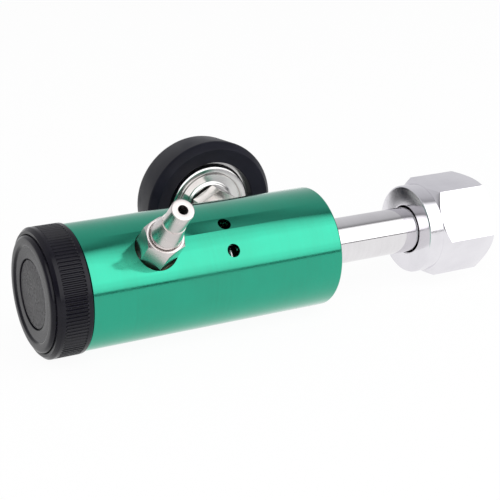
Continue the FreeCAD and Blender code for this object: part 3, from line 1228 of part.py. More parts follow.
LUG_TURN = "(sector_angle - tube_start)"
sketch = sketch_on(bend, "lug_outline", "XY_Plane", LUG_BACK)
draw(sketch, spun([
    (PIN_ACROSS + " - tail_width / 2", TAIL_UP + " + tail_width / 2"),
    (PIN_ACROSS + " + 2 * tail_width", TAIL_UP + " + tail_width / 2"),
    (PIN_ACROSS + " + 2 * tail_width", TAIL_UP + " - 3 * tail_width / 2 - tip_sheet"),
    (PIN_ACROSS + " - tail_width / 2", TAIL_UP + " - 3 * tail_width / 2 - tip_sheet"),
], LUG_TURN))
draw(sketch, spun([
    (PIN_ACROSS + " - tip_slot", TAIL_UP + " + tip_slot"),
    (PIN_ACROSS + " + tail_width + 2 * tip_slot", TAIL_UP + " + tip_slot"),
    (PIN_ACROSS + " + tail_width + 2 * tip_slot", TAIL_UP + " - tip_slot - pin_radius / 2"),
    (PIN_ACROSS + " - tip_slot", TAIL_UP + " - tip_slot - pin_radius / 2"),
], LUG_TURN))
pad = bend.newObject("PartDesign::Pad", "tip_lug")
pad.Profile = sketch
pad.setExpression("Length", bind("tip_sheet"))
doc.recompute()

# Pointer's shaft with its pinion, and the flat hairspring around it.
arbor = piece("pinion_shaft", GAUGE_X, "gauge_angle", spin="vector(0; 0; 1); sector_angle")
POINTER_BACK = "(%s + pointer_rise)" % DIAL_FACE
PINION_BACK = "(%s - open_gap / 2)" % SECTOR_BACK
turned(arbor, "shaft", [
    (PLATE_BACK + " + pivot_fit", "0"),
    (PLATE_BACK + " + pivot_fit", "arbor_radius"),
    (PINION_BACK, "arbor_radius"),
    (PINION_BACK, "pinion_radius - tooth_root"),
    (PINION_BACK + " + sector_sheet + open_gap", "pinion_radius - tooth_root"),
    (PINION_BACK + " + sector_sheet + open_gap", "arbor_radius"),
    (POINTER_BACK, "arbor_radius"),
    (POINTER_BACK, "0"),
], axis="Z")
first = padded(arbor, "pinion_tooth",
               tooth("(pinion_radius - tooth_root + tooth_crest)", "(pinion_radius + tooth_rise)"),
               PINION_BACK, "sector_sheet + open_gap", axis="Z")
repeated(arbor, "pinion_toothing", first, "pinion_teeth", "Z_Axis")
hairspring = piece("hairspring", GAUGE_X, "gauge_angle")
wire = sketch_on(hairspring, "hair_section", "XZ_Plane")
draw_circle(wire, "hairspring_radius", PLATE_FRONT + " + 2 * open_gap", "hairspring_wire")
spiral = hairspring.newObject("PartDesign::AdditiveHelix", "spiral")
spiral.Profile = wire
spiral.ReferenceAxis = (wire, ["V_Axis"])
spiral.Mode = "height-turns-growth"
spiral.Height = 0
spiral.setExpression("Turns", bind("hairspring_count"))
spiral.setExpression("Growth", bind("hairspring_growth"))
doc.recompute()

# Lens, its ring, the dial on two posts with its two screws, and the pointer on its shaft.
lens = piece("gauge_lens", GAUGE_X, "gauge_angle")
turned(lens, "lens_disc", [
    (LENS_BACK, "0"),
    (LENS_BACK, "case_radius - case_sheet - slip"),
    (LENS_BACK + " + lens_thickness", "case_radius - case_sheet - slip"),
    (LENS_BACK + " + lens_thickness", "0"),
], axis="Z")
bezel = piece("gauge_bezel", GAUGE_X, "gauge_angle")
turned(bezel, "bezel_ring", [
    (LENS_BACK + " + lens_thickness", "case_radius - bezel_width"),
    (LENS_BACK + " + lens_thickness", "case_radius"),
    (LENS_BACK + " + lens_thickness + bezel_thickness", "case_radius"),
    (LENS_BACK + " + lens_thickness + bezel_thickness", "case_radius - bezel_width"),
], axis="Z")
DIAL_BACK = "(%s - dial_thickness)" % DIAL_FACE
DIAL_RADIUS = "(case_radius - case_sheet - dial_gap)"
dial = piece("gauge_dial", GAUGE_X, "gauge_angle")
sketch = sketch_on(dial, "dial_outline", "XY_Plane", DIAL_BACK)
draw_circle(sketch, "0", "0", DIAL_RADIUS)
draw_circle(sketch, "0", "0", "dial_hole")
draw_circle(sketch, "dial_screw_circle", "0", "dial_screw_shank + slip")
draw_circle(sketch, "-dial_screw_circle", "0", "dial_screw_shank + slip")
pad = dial.newObject("PartDesign::Pad", "dial_disc")
pad.Profile = sketch
pad.setExpression("Length", bind("dial_thickness"))
doc.recompute()
for number, side in ((1, ""), (2, "-")):
    post = piece("dial_post_%d" % number)
    shifted(post, GAUGE_X, "gauge_angle", side + "dial_screw_circle", "0")
    turned(post, "post_%d" % number, [
        (PLATE_FRONT, "0"),
        (PLATE_FRONT, "dial_post_radius"),
        (DIAL_BACK, "dial_post_radius"),
        (DIAL_BACK, "dial_screw_shank + slip"),
        (DIAL_BACK + " - dial_screw_length - slip", "dial_screw_shank + slip"),
        (DIAL_BACK + " - dial_screw_length - slip", "0"),
    ], axis="Z")
    dial_screw = piece("dial_screw_%d" % number)
    shifted(dial_screw, GAUGE_X, "gauge_angle", side + "dial_screw_circle", "0")
    turned(dial_screw, "dial_screw_%d_turned" % number, [
        (DIAL_BACK + " - dial_screw_length", "0"),
        (DIAL_BACK + " - dial_screw_length", "dial_screw_shank"),
        (DIAL_FACE, "dial_screw_shank"),
        (DIAL_FACE, "dial_screw_radius"),
        (DIAL_FACE + " + dial_screw_head", "dial_screw_radius"),
        (DIAL_FACE + " + dial_screw_head", "0"),
    ], axis="Z")
pointer = piece("gauge_pointer", GAUGE_X, "gauge_angle",
                spin="vector(0; 0; 1); pointer_angle")
POINTER_LENGTH = "(%s - pointer_inset)" % DIAL_RADIUS
padded(pointer, "pointer_blade", [
    ("-pointer_tail", "pointer_width"),
    ("-pointer_tail", "-pointer_width"),
    ("0", "-pointer_width / 2"),
    (POINTER_LENGTH, "-pointer_width / 8"),
    (POINTER_LENGTH, "pointer_width / 8"),
    ("0", "pointer_width / 2"),
], POINTER_BACK, "pointer_sheet", axis="Z")
turned(pointer, "pointer_hub_cap", [
    (POINTER_BACK, "0"),
    (POINTER_BACK, "pointer_hub"),
    (POINTER_BACK + " + 2 * pointer_sheet", "pointer_hub - pointer_sheet"),
    (POINTER_BACK + " + 2 * pointer_sheet", "0"),
], axis="Z")

PIECES = [item for item in doc.Objects
          if item.TypeId in ("PartDesign::Body", "Part::Torus", "Part::Sphere", "Part::Feature")]

doc.recompute()
for item in doc.Objects:
    if "Invalid" in item.State or "Error" in item.State:
        raise RuntimeError("%s failed: %s" % (item.Name, item.State))
for item in PIECES:
    if item.Shape.isNull() or not item.Shape.isValid():
        raise RuntimeError("%s has no valid shape" % item.Label)

os.makedirs("parts", exist_ok=True)
for item in PIECES:
    item.Shape.exportStep("parts/%s.step" % item.Label)
    print(item.Label, len(item.Shape.Solids), round(item.Shape.Volume, 1))
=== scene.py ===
import math

import bmesh
import bpy
from mathutils import Matrix, Vector


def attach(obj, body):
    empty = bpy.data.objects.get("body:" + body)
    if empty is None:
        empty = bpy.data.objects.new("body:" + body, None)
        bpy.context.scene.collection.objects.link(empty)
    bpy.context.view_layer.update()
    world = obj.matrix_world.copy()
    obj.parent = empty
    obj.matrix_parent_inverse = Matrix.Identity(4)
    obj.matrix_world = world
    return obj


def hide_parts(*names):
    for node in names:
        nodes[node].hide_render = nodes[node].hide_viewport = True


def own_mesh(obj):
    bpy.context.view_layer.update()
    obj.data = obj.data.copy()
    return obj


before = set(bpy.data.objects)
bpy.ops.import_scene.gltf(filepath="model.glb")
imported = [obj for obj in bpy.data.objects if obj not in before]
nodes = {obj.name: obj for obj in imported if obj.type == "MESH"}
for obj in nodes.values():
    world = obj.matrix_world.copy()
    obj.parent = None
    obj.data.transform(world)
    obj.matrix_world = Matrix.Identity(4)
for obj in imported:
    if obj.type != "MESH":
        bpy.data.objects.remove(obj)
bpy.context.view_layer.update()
scene = bpy.context.scene
scene.view_settings.view_transform = "Standard"
MM = 0.001

# Camera: it stands in front of the knob's end, a little above the regulator, and looks along
# the body towards the inlet nut. Its place is given from the middle of the body's nut end.
BODY_END = -61.2
CAMERA_FROM_BODY_END = (-206.8, -334.1, 128.3)
CAMERA_ELEVATION = 18.3
CAMERA_AZIMUTH = -28.95
CAMERA_LENS = 94.75
camera_data = bpy.data.cameras.new("photo_camera")
camera_data.lens = CAMERA_LENS
camera_data.sensor_width = 36.0
camera_data.clip_start = 0.01
camera = bpy.data.objects.new("photo_camera", camera_data)
camera.location = (Vector((BODY_END, 0, 0)) + Vector(CAMERA_FROM_BODY_END)) * MM
camera.rotation_euler = (math.radians(90 - CAMERA_ELEVATION), 0, math.radians(CAMERA_AZIMUTH))
scene.collection.objects.link(camera)
scene.camera = camera

# Table: a plain white sheet that the regulator lies on, touching the rim of the gauge's boot.
# The camera, metal and glass see it white; its own lit surface keeps a faint shadow.
TABLE_HEIGHT = -19.2
TABLE_SIDE = 4000.0
TABLE_SHIFT = 600.0
SHEET_GLOW = 0.95


def math_node(tree, operation, first, second):
    """A Math node fed by sockets or plain numbers."""
    node = tree.nodes.new("ShaderNodeMath")
    node.operation = operation
    for number, value in enumerate((first, second)):
        if isinstance(value, (int, float)):
            node.inputs[number].default_value = value
        else:
            tree.links.new(value, node.inputs[number])
    return node.outputs[0]


table_mesh = bmesh.new()
bmesh.ops.create_grid(table_mesh, x_segments=1, y_segments=1, size=TABLE_SIDE * MM / 2)
bmesh.ops.translate(table_mesh, verts=table_mesh.verts, vec=(0, TABLE_SHIFT * MM, TABLE_HEIGHT * MM))
table_data = bpy.data.meshes.new("table")
table_mesh.to_mesh(table_data)
table = bpy.data.objects.new("table", table_data)
scene.collection.objects.link(table)
white_sheet = bpy.data.materials.new("white_sheet")
white_sheet.use_nodes = True
sheet_tree = white_sheet.node_tree
sheet_shader = sheet_tree.nodes["Principled BSDF"]
sheet_shader.inputs["Base Color"].default_value = (0.93, 0.93, 0.93, 1)
sheet_shader.inputs["Roughness"].default_value = 0.9
sheet_shader.inputs["Specular IOR Level"].default_value = 0.0
sheet_white = sheet_tree.nodes.new("ShaderNodeEmission")
rays = sheet_tree.nodes.new("ShaderNodeLightPath")
seen = math_node(sheet_tree, "MAXIMUM", rays.outputs["Is Camera Ray"],
                 rays.outputs["Is Glossy Ray"])
seen_through = math_node(sheet_tree, "MAXIMUM", seen, rays.outputs["Is Transmission Ray"])
sheet_mix = sheet_tree.nodes.new("ShaderNodeMixShader")
sheet_tree.links.new(math_node(sheet_tree, "MULTIPLY", seen_through, SHEET_GLOW),
                     sheet_mix.inputs[0])
sheet_tree.links.new(sheet_shader.outputs[0], sheet_mix.inputs[1])
sheet_tree.links.new(sheet_white.outputs[0], sheet_mix.inputs[2])
sheet_tree.links.new(sheet_mix.outputs[0], sheet_tree.nodes["Material Output"].inputs["Surface"])
table_data.materials.append(white_sheet)

# Light: one long soft box on the camera's side, from the table's height almost to overhead,
# brightest in its middle and fading towards its edges, and a grey room that is darker on the
# camera's side. A part of the box is given by its low and high edge, in degrees above the table,
# and its strength.
BOX_DISTANCE = 1300.0
BOX_LENGTH = 3400.0
BOX_MIDDLE_X = 550.0
BOX_PARTS = [(3.2, 79.5, 0.50), (3.2, 76.5, 0.45), (3.2, 73.0, 0.40), (3.2, 69.0, 0.30),
             (10.0, 63.0, 0.25), (18.0, 56.0, 0.25)]
for low, high, strength in BOX_PARTS:
    low_edge = Vector((0, -math.cos(math.radians(low)), math.sin(math.radians(low))))
    high_edge = Vector((0, -math.cos(math.radians(high)), math.sin(math.radians(high))))
    box_height = (high_edge - low_edge).length * BOX_DISTANCE * MM
    box_light = bpy.data.lights.new("soft_box", "AREA")
    box_light.shape = "RECTANGLE"
    box_light.size = BOX_LENGTH * MM
    box_light.size_y = box_height
    box_light.energy = strength * math.pi * BOX_LENGTH * MM * box_height
    soft_box = bpy.data.objects.new("soft_box", box_light)
    soft_box.visible_camera = False
    facing = -(low_edge + high_edge).normalized()
    upward = (high_edge - low_edge).normalized()
    turn = Matrix((upward.cross(-facing), upward, -facing)).transposed().to_4x4()
    box_middle = (low_edge + high_edge) / 2 * BOX_DISTANCE + Vector((BOX_MIDDLE_X, 0, 0))
    soft_box.matrix_world = Matrix.Translation(box_middle * MM) @ turn
    scene.collection.objects.link(soft_box)

ROOM_TONES = [(0.0, 0.08), (0.10, 0.16), (0.20, 0.36), (0.34, 0.55), (0.6, 0.63), (1.0, 0.72)]
ROOM_FRONT = -0.3
ROOM_BACK = 0.9
ROOM_BLUE = 1.03


def range_node(tree, value, from_low, from_high, to_low, to_high):
    """A Map Range node that keeps to its limits."""
    node = tree.nodes.new("ShaderNodeMapRange")
    for socket, number in (("From Min", from_low), ("From Max", from_high),
                           ("To Min", to_low), ("To Max", to_high)):
        node.inputs[socket].default_value = number
    tree.links.new(value, node.inputs["Value"])
    return node.outputs["Result"]


room = bpy.data.worlds.new("grey_room")
room.use_nodes = True
scene.world = room
room_nodes = room.node_tree.nodes
room_links = room.node_tree.links
direction = room_nodes.new("ShaderNodeTexCoord")
split = room_nodes.new("ShaderNodeSeparateXYZ")
room_ramp = room_nodes.new("ShaderNodeValToRGB")
room_links.new(direction.outputs["Generated"], split.inputs["Vector"])
room_links.new(range_node(room.node_tree, split.outputs["Y"], ROOM_FRONT, ROOM_BACK, 0.0, 1.0),
               room_ramp.inputs["Fac"])
tones = room_ramp.color_ramp.elements
for number, (position, tone) in enumerate(ROOM_TONES):
    stop = tones[number] if number < 2 else tones.new(position)
    stop.position = position
    stop.color = (tone, tone, tone * ROOM_BLUE, 1)
room_links.new(room_ramp.outputs["Color"], room_nodes["Background"].inputs["Color"])

# Body sleeve: one length of aluminium tube with a closed end, turned, polished and anodised
# green. It has a round opening around the outlet, two vents, the gauge's opening and a window.
SLEEVE_REAR = -142.1
SLEEVE_RADIUS = 18.5
SLEEVE_BORE = 16.3
SLEEVE_END_WALL = 4.0
TUBE_HOLE = 7.4
TURNING_STEPS = 256
OUTLET_X = -120.7
OUTLET_ANGLE = 47.6
OUTLET_OPENING = 6.5
VENT_X = -97.48
VENT_RADIUS = 2.0
VENT_ANGLES = (34.0, 61.3)
GAUGE_X = -74.7
GAUGE_ANGLE = -85.35
GAUGE_OPENING = 7.75
WINDOW_X = -137.8
WINDOW_LENGTH = 4.6
WINDOW_WIDTH = 7.0
CUT_START = 9.0
CUT_DEPTH = 12.0
WINDOW_CUT_DEPTH = 10.0
WINDOW_CUT_MIDDLE = 17.0
REAR_ROUND = 0.3
FRONT_ROUND = 0.8
RIM_ROUND = 0.22
MARGIN = 0.1
END_MARGIN = 1.0


def along_axis(angle=0.0, x=0.0):
    """Turns +Z about the regulator's axis by an angle and moves it to a station, in mm."""
    return Matrix.Translation((x * MM, 0, 0)) @ Matrix.Rotation(math.radians(angle), 4, "X")


UPRIGHT = Matrix.Rotation(math.radians(-90), 4, "Y")


def turned_shape(outline, rounds=(), upright=False, steps=TURNING_STEPS, arc=360.0):
    """Spins an outline of (along, radius) corners in mm about X, or about Z when upright.
    rounds gives (corner number, radius) for corners that are rounded."""
    shape = bmesh.new()
    corners = [shape.verts.new((along * MM, 0, radius * MM)) for along, radius in outline]
    for pair in zip(corners, corners[1:] + corners[:1]):
        shape.edges.new(pair)
    for number, radius in rounds:
        bmesh.ops.bevel(
            shape, geom=[corners[number]], offset=radius * MM, offset_type="OFFSET",
            segments=6, profile=0.5, affect="VERTICES", material=-1,
        )
    bmesh.ops.remove_doubles(shape, verts=shape.verts, dist=1e-7)
    if arc < 360.0:
        bmesh.ops.contextual_create(shape, geom=shape.edges)
    bmesh.ops.spin(
        shape, geom=list(shape.verts) + list(shape.edges) + list(shape.faces), cent=(0, 0, 0),
        axis=(1, 0, 0), dvec=(0, 0, 0), angle=math.radians(arc), steps=steps,
        use_merge=arc == 360.0,
    )
    # A spin leaves its edges and faces in another order each run, so they are sorted.
    shape.verts.index_update()
    total = len(shape.verts)
    for parts in (shape.edges, shape.faces):
        parts.sort(key=lambda part: min(corner.index for corner in part.verts) * total
                   + max(corner.index for corner in part.verts))
    bmesh.ops.remove_doubles(shape, verts=shape.verts, dist=1e-6)
    bmesh.ops.dissolve_degenerate(shape, edges=shape.edges, dist=1e-7)
    if upright:
        shape.transform(UPRIGHT)
    bmesh.ops.recalc_face_normals(shape, faces=shape.faces)
    return shape


def finished(name, shape, body, material, sharp=32.0):
    """Makes an object of a bmesh, smooth but for its sharp edges, that rides on a body."""
    data = bpy.data.meshes.new(name)
    shape.to_mesh(data)
    shape.free()
    data.shade_smooth()
    data.set_sharp_from_angle(angle=math.radians(sharp))
    piece = bpy.data.objects.new(name, data)
    scene.collection.objects.link(piece)
    data.materials.append(material)
    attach(piece, body)
    return piece


def cut_by(shape, cutters, operation="DIFFERENCE"):
    """Cuts a bmesh by others and returns the result."""
    data = bpy.data.meshes.new("blank")
    shape.to_mesh(data)
    shape.free()
    blank = bpy.data.objects.new("blank", data)
    scene.collection.objects.link(blank)
    tools = []
    for cutter in cutters:
        tool_data = bpy.data.meshes.new("cutter")
        cutter.to_mesh(tool_data)
        cutter.free()
        tool = bpy.data.objects.new("cutter", tool_data)
        scene.collection.objects.link(tool)
        tools.append(tool)
        cut = blank.modifiers.new("cut", "BOOLEAN")
        cut.operation = operation
        cut.object = tool
        cut.solver = "EXACT"
    bpy.context.view_layer.update()
    evaluated = blank.evaluated_get(bpy.context.evaluated_depsgraph_get())
    result = bmesh.new()
    result.from_mesh(evaluated.to_mesh())
    evaluated.to_mesh_clear()
    for tool in tools + [blank]:
        bpy.data.objects.remove(tool)
    return result


def drill(radius, place, steps=64):
    """A round cutter along a place's Z that goes through the sleeve's side."""
    cutter = bmesh.new()
    bmesh.ops.create_cone(
        cutter, cap_ends=True, segments=steps, radius1=radius * MM, radius2=radius * MM,
        depth=CUT_DEPTH * MM,
    )
    bmesh.ops.translate(cutter, verts=cutter.verts, vec=(0, 0, (CUT_START + CUT_DEPTH / 2) * MM))
    cutter.transform(place)
    return cutter


def soften(shape, width, chosen, least_angle=20.0):
    """Rounds the chosen sharp edges of a shape, as plating or anodising leaves them."""
    edges = []
    for edge in shape.edges:
        if len(edge.link_faces) == 2 and edge.calc_face_angle() > math.radians(least_angle):
            middle = (edge.verts[0].co + edge.verts[1].co) / 2
            if chosen(middle):
                edges.append(edge)
    bmesh.ops.bevel(
        shape, geom=edges, offset=width * MM, offset_type="OFFSET", segments=2, profile=0.5,
        affect="EDGES", material=-1, clamp_overlap=True,
    )
    bmesh.ops.recalc_face_normals(shape, faces=shape.faces)


def new_group(name, inputs, outputs):
    """Starts a node group with named sockets, each a (name, socket type) pair."""
    group = bpy.data.node_groups.new(name, "ShaderNodeTree")
    for socket, kind in inputs:
        group.interface.new_socket(name=socket, in_out="INPUT", socket_type=kind)
    for socket, kind in outputs:
        group.interface.new_socket(name=socket, in_out="OUTPUT", socket_type=kind)
    return group, group.nodes.new("NodeGroupInput"), group.nodes.new("NodeGroupOutput")


# Turning lines run around the X axis of the coordinates that the group is given.
lathe_lines, given, put_out = new_group(
    "lathe_lines", [("Place", "NodeSocketVector"), ("Per Metre", "NodeSocketFloat")],
    [("Height", "NodeSocketFloat"), ("Tone", "NodeSocketFloat")],
)
axis_split = lathe_lines.nodes.new("ShaderNodeSeparateXYZ")
lathe_lines.links.new(given.outputs["Place"], axis_split.inputs[0])
across = math_node(lathe_lines, "MULTIPLY", axis_split.outputs["X"], given.outputs["Per Metre"])
for socket, share, detail in (("Height", 1.0, 3.0), ("Tone", 0.08, 2.0)):
    stripes = lathe_lines.nodes.new("ShaderNodeTexNoise")
    stripes.noise_dimensions = "1D"
    stripes.inputs["Scale"].default_value = 1.0
    stripes.inputs["Detail"].default_value = detail
    lathe_lines.links.new(math_node(lathe_lines, "MULTIPLY", across, share), stripes.inputs["W"])
    lathe_lines.links.new(stripes.outputs["Fac"], put_out.inputs[socket])

# Handling leaves cloudy smudges, and hairline scratches that run mostly one way.
SMUDGE_RANGE = (0.38, 0.72)
SCRATCH_TURN = (0.5, 0.3, 0.9)
SCRATCH_STRETCH = (0.6, 14.0, 14.0)
SCRATCH_WIDTH = 0.008
handling, given, put_out = new_group(
    "handling", [("Place", "NodeSocketVector"), ("Per Metre", "NodeSocketFloat")],
    [("Smudge", "NodeSocketFloat"), ("Scratch", "NodeSocketFloat")],
)
clouds = handling.nodes.new("ShaderNodeTexNoise")
clouds.inputs["Detail"].default_value = 5.0
handling.links.new(given.outputs["Place"], clouds.inputs["Vector"])
handling.links.new(given.outputs["Per Metre"], clouds.inputs["Scale"])
handling.links.new(range_node(handling, clouds.outputs["Fac"], *SMUDGE_RANGE, 0.0, 1.0),
                   put_out.inputs["Smudge"])
stretched = handling.nodes.new("ShaderNodeMapping")
stretched.inputs["Rotation"].default_value = SCRATCH_TURN
stretched.inputs["Scale"].default_value = SCRATCH_STRETCH
hairs = handling.nodes.new("ShaderNodeTexNoise")
hairs.inputs["Detail"].default_value = 1.0
handling.links.new(given.outputs["Place"], stretched.inputs["Vector"])
handling.links.new(stretched.outputs["Vector"], hairs.inputs["Vector"])
handling.links.new(given.outputs["Per Metre"], hairs.inputs["Scale"])
off_middle = math_node(handling, "SUBTRACT", hairs.outputs["Fac"], 0.5)
near_middle = math_node(handling, "ABSOLUTE", off_middle, 0.0)
handling.links.new(range_node(handling, near_middle, 0.0, SCRATCH_WIDTH, 1.0, 0.0),
                   put_out.inputs["Scratch"])


def group_in(material, group, place_socket, per_metre):
    """Places a group in a material with its own scale."""
    node = material.node_tree.nodes.new("ShaderNodeGroup")
    node.node_tree = group
    node.inputs["Per Metre"].default_value = per_metre
    material.node_tree.links.new(place_socket, node.inputs["Place"])
    return node


def started(name, place):
    """A new material with its shader and coordinates centred on a piece, whose axis is X."""
    material = bpy.data.materials.new(name)
    material.use_nodes = True
    tree = material.node_tree
    found = tree.nodes.new("ShaderNodeTexCoord")
    centred = tree.nodes.new("ShaderNodeMapping")
    inverse = place.inverted()
    centred.inputs["Location"].default_value = inverse.to_translation()
    centred.inputs["Rotation"].default_value = inverse.to_euler()
    tree.links.new(found.outputs["Object"], centred.inputs["Vector"])
    return material, tree.nodes["Principled BSDF"], centred.outputs["Vector"]


def varied_color(material, shader, amount, color, other):
    """Base Color between two colours by an amount that changes over the surface."""
    tree = material.node_tree
    blend = tree.nodes.new("ShaderNodeMix")
    blend.data_type = "RGBA"
    blend.inputs["A"].default_value = (*color, 1)
    blend.inputs["B"].default_value = (*other, 1)
    tree.links.new(amount, blend.inputs["Factor"])
    tree.links.new(blend.outputs["Result"], shader.inputs["Base Color"])


def bumped(material, shader, height, depth):
    """A Bump node whose height is given as a depth in mm."""
    tree = material.node_tree
    bump = tree.nodes.new("ShaderNodeBump")
    bump.inputs["Distance"].default_value = depth * MM
    tree.links.new(height, bump.inputs["Height"])
    tree.links.new(bump.outputs["Normal"], shader.inputs["Normal"])


HANDLING_PER_METRE = 90.0
SMUDGE_SHARE = 0.65
STRIPE_SHARE = 0.5
SCRATCH_HEIGHT = -0.5


def metal(name, color, dulled, roughness, place=Matrix(), per_metre=9000.0, depth=0.002):
    """Turned or plated metal: lines around its axis, smudges and hairline scratches."""
    material, shader, here = started(name, place)
    tree = material.node_tree
    shader.inputs["Metallic"].default_value = 1.0
    lines = group_in(material, lathe_lines, here, per_metre)
    touched = group_in(material, handling, here, HANDLING_PER_METRE)
    cloud = math_node(tree, "MULTIPLY", touched.outputs["Smudge"], SMUDGE_SHARE)
    stripe = math_node(tree, "MULTIPLY", lines.outputs["Tone"], STRIPE_SHARE)
    amount = math_node(tree, "ADD", cloud, stripe)
    varied_color(material, shader, amount, color, dulled)
    tree.links.new(range_node(tree, amount, 0.1, 0.9, *roughness), shader.inputs["Roughness"])
    scratched = math_node(tree, "MULTIPLY", touched.outputs["Scratch"], SCRATCH_HEIGHT)
    height = math_node(tree, "ADD", lines.outputs["Height"], scratched)
    bumped(material, shader, height, depth)
    return material


def dress(material, *members):
    """Gives carried-over nodes of the model their finish."""
    for member in members:
        nodes[member].data.materials.clear()
        nodes[member].data.materials.append(material)


green_anodised = metal("green_anodised", (0.030, 0.385, 0.248), (0.034, 0.345, 0.222),
                       (0.115, 0.17), per_metre=14000.0, depth=0.0010)
green_shader = green_anodised.node_tree.nodes["Principled BSDF"]
green_shader.inputs["Coat Weight"].default_value = 0.2
green_shader.inputs["Coat Roughness"].default_value = 0.08
sleeve_shape = turned_shape(
    [
        (SLEEVE_REAR, SLEEVE_BORE),
        (SLEEVE_REAR, SLEEVE_RADIUS),
        (BODY_END, SLEEVE_RADIUS),
        (BODY_END, TUBE_HOLE),
        (BODY_END - SLEEVE_END_WALL, TUBE_HOLE),
        (BODY_END - SLEEVE_END_WALL, SLEEVE_BORE),
    ],
    rounds=[(1, REAR_ROUND), (2, FRONT_ROUND)],
)
window_cutter = bmesh.new()
bmesh.ops.create_cube(window_cutter, size=1.0)
bmesh.ops.scale(window_cutter, verts=window_cutter.verts,
                vec=(WINDOW_LENGTH * MM, WINDOW_WIDTH * MM, WINDOW_CUT_DEPTH * MM))
window_cutter.transform(along_axis(GAUGE_ANGLE, WINDOW_X)
                        @ Matrix.Translation((0, 0, WINDOW_CUT_MIDDLE * MM)))
openings = [
    drill(OUTLET_OPENING, along_axis(OUTLET_ANGLE, OUTLET_X), 96),
    drill(GAUGE_OPENING, along_axis(GAUGE_ANGLE, GAUGE_X), 96),
    window_cutter,
]
for angle in VENT_ANGLES:
    openings.append(drill(VENT_RADIUS, along_axis(angle, VENT_X)))
sleeve_cut = cut_by(sleeve_shape, openings)


def at_opening(middle):
    """Whether a point lies on the outer rim of an opening in the sleeve's side."""
    radius = math.hypot(middle.y, middle.z) / MM
    between_ends = SLEEVE_REAR + END_MARGIN < middle.x / MM < BODY_END - END_MARGIN
    return radius > SLEEVE_RADIUS - MARGIN and between_ends


soften(sleeve_cut, RIM_ROUND, at_opening, least_angle=35.0)
body_sleeve = finished("green_sleeve", sleeve_cut, "regulator", green_anodised)
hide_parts("body_sleeve")

# Knob: moulded in black plastic, its skirt ribbed for grip, with a glossy rounded ring around
# its face and a fine-grained plate pressed into a round recess over the screw.
KNOB_RIM = -142.4
KNOB_RADIUS = 19.0
KNOB_SKIRT_FRONT = -152.6
KNOB_BORE = 16.6
KNOB_RING_OUTER = 16.9
KNOB_RING_INNER = 14.2
KNOB_RING_FRONT = -153.8
KNOB_FACE = -153.3
PLATE_RECESS = 10.3
PLATE_FLOOR = -152.4
PLATE_RADIUS = 9.9
PLATE_FACE = -153.05
KNOB_INSIDE = -149.4
SHAFT_HOLE = 4.2
SKIRT_SLOPE = 0.95
STEP_WIDTH = 0.35
STEP_DEPTH = 0.3
RING_SLOPE = 0.6
RING_ROUND = 1.15
KNOB_RIBS = 100
RIB_POINTS = 4
RIB_PART = (0.2, 0.7)
RIB_DEPTH = 0.42
RIB_START = -144.0
RIB_END = -150.2
RIB_RUNOUT = 0.35

# Moulded plastic and rubber have a fine grain from the tool, and hold dust unevenly.
DUST_SCALE = 0.04
DUST_RANGE = (0.4, 0.75)
MOTTLED_RANGE = (0.42, 0.62)
moulded_grain, given, put_out = new_group(
    "moulded_grain", [("Place", "NodeSocketVector"), ("Per Metre", "NodeSocketFloat")],
    [("Height", "NodeSocketFloat"), ("Dust", "NodeSocketFloat")],
)
grain = moulded_grain.nodes.new("ShaderNodeTexNoise")
grain.inputs["Detail"].default_value = 2.0
moulded_grain.links.new(given.outputs["Place"], grain.inputs["Vector"])
moulded_grain.links.new(given.outputs["Per Metre"], grain.inputs["Scale"])
moulded_grain.links.new(grain.outputs["Fac"], put_out.inputs["Height"])
dust = moulded_grain.nodes.new("ShaderNodeTexNoise")
dust.inputs["Detail"].default_value = 5.0
moulded_grain.links.new(given.outputs["Place"], dust.inputs["Vector"])
moulded_grain.links.new(math_node(moulded_grain, "MULTIPLY", given.outputs["Per Metre"],
                                  DUST_SCALE), dust.inputs["Scale"])
moulded_grain.links.new(range_node(moulded_grain, dust.outputs["Fac"], *DUST_RANGE, 0.0, 1.0),
                        put_out.inputs["Dust"])


def moulded(name, color, dusty, roughness, per_metre, depth, gloss=0.5, mottled=False):
    """Moulded plastic, rubber or enamel with its grain and a little dust.
    A mottled one is paler on top of its grain instead of where dust lies."""
    material, shader, here = started(name, Matrix())
    tree = material.node_tree
    shader.inputs["Specular IOR Level"].default_value = gloss
    surface = group_in(material, moulded_grain, here, per_metre)
    amount = surface.outputs["Dust"]
    if mottled:
        amount = range_node(tree, surface.outputs["Height"], *MOTTLED_RANGE, 0.0, 1.0)
    varied_color(material, shader, amount, color, dusty)
    tree.links.new(range_node(tree, surface.outputs["Dust"], 0.0, 1.0, *roughness),
                   shader.inputs["Roughness"])
    bumped(material, shader, surface.outputs["Height"], depth)
    return material


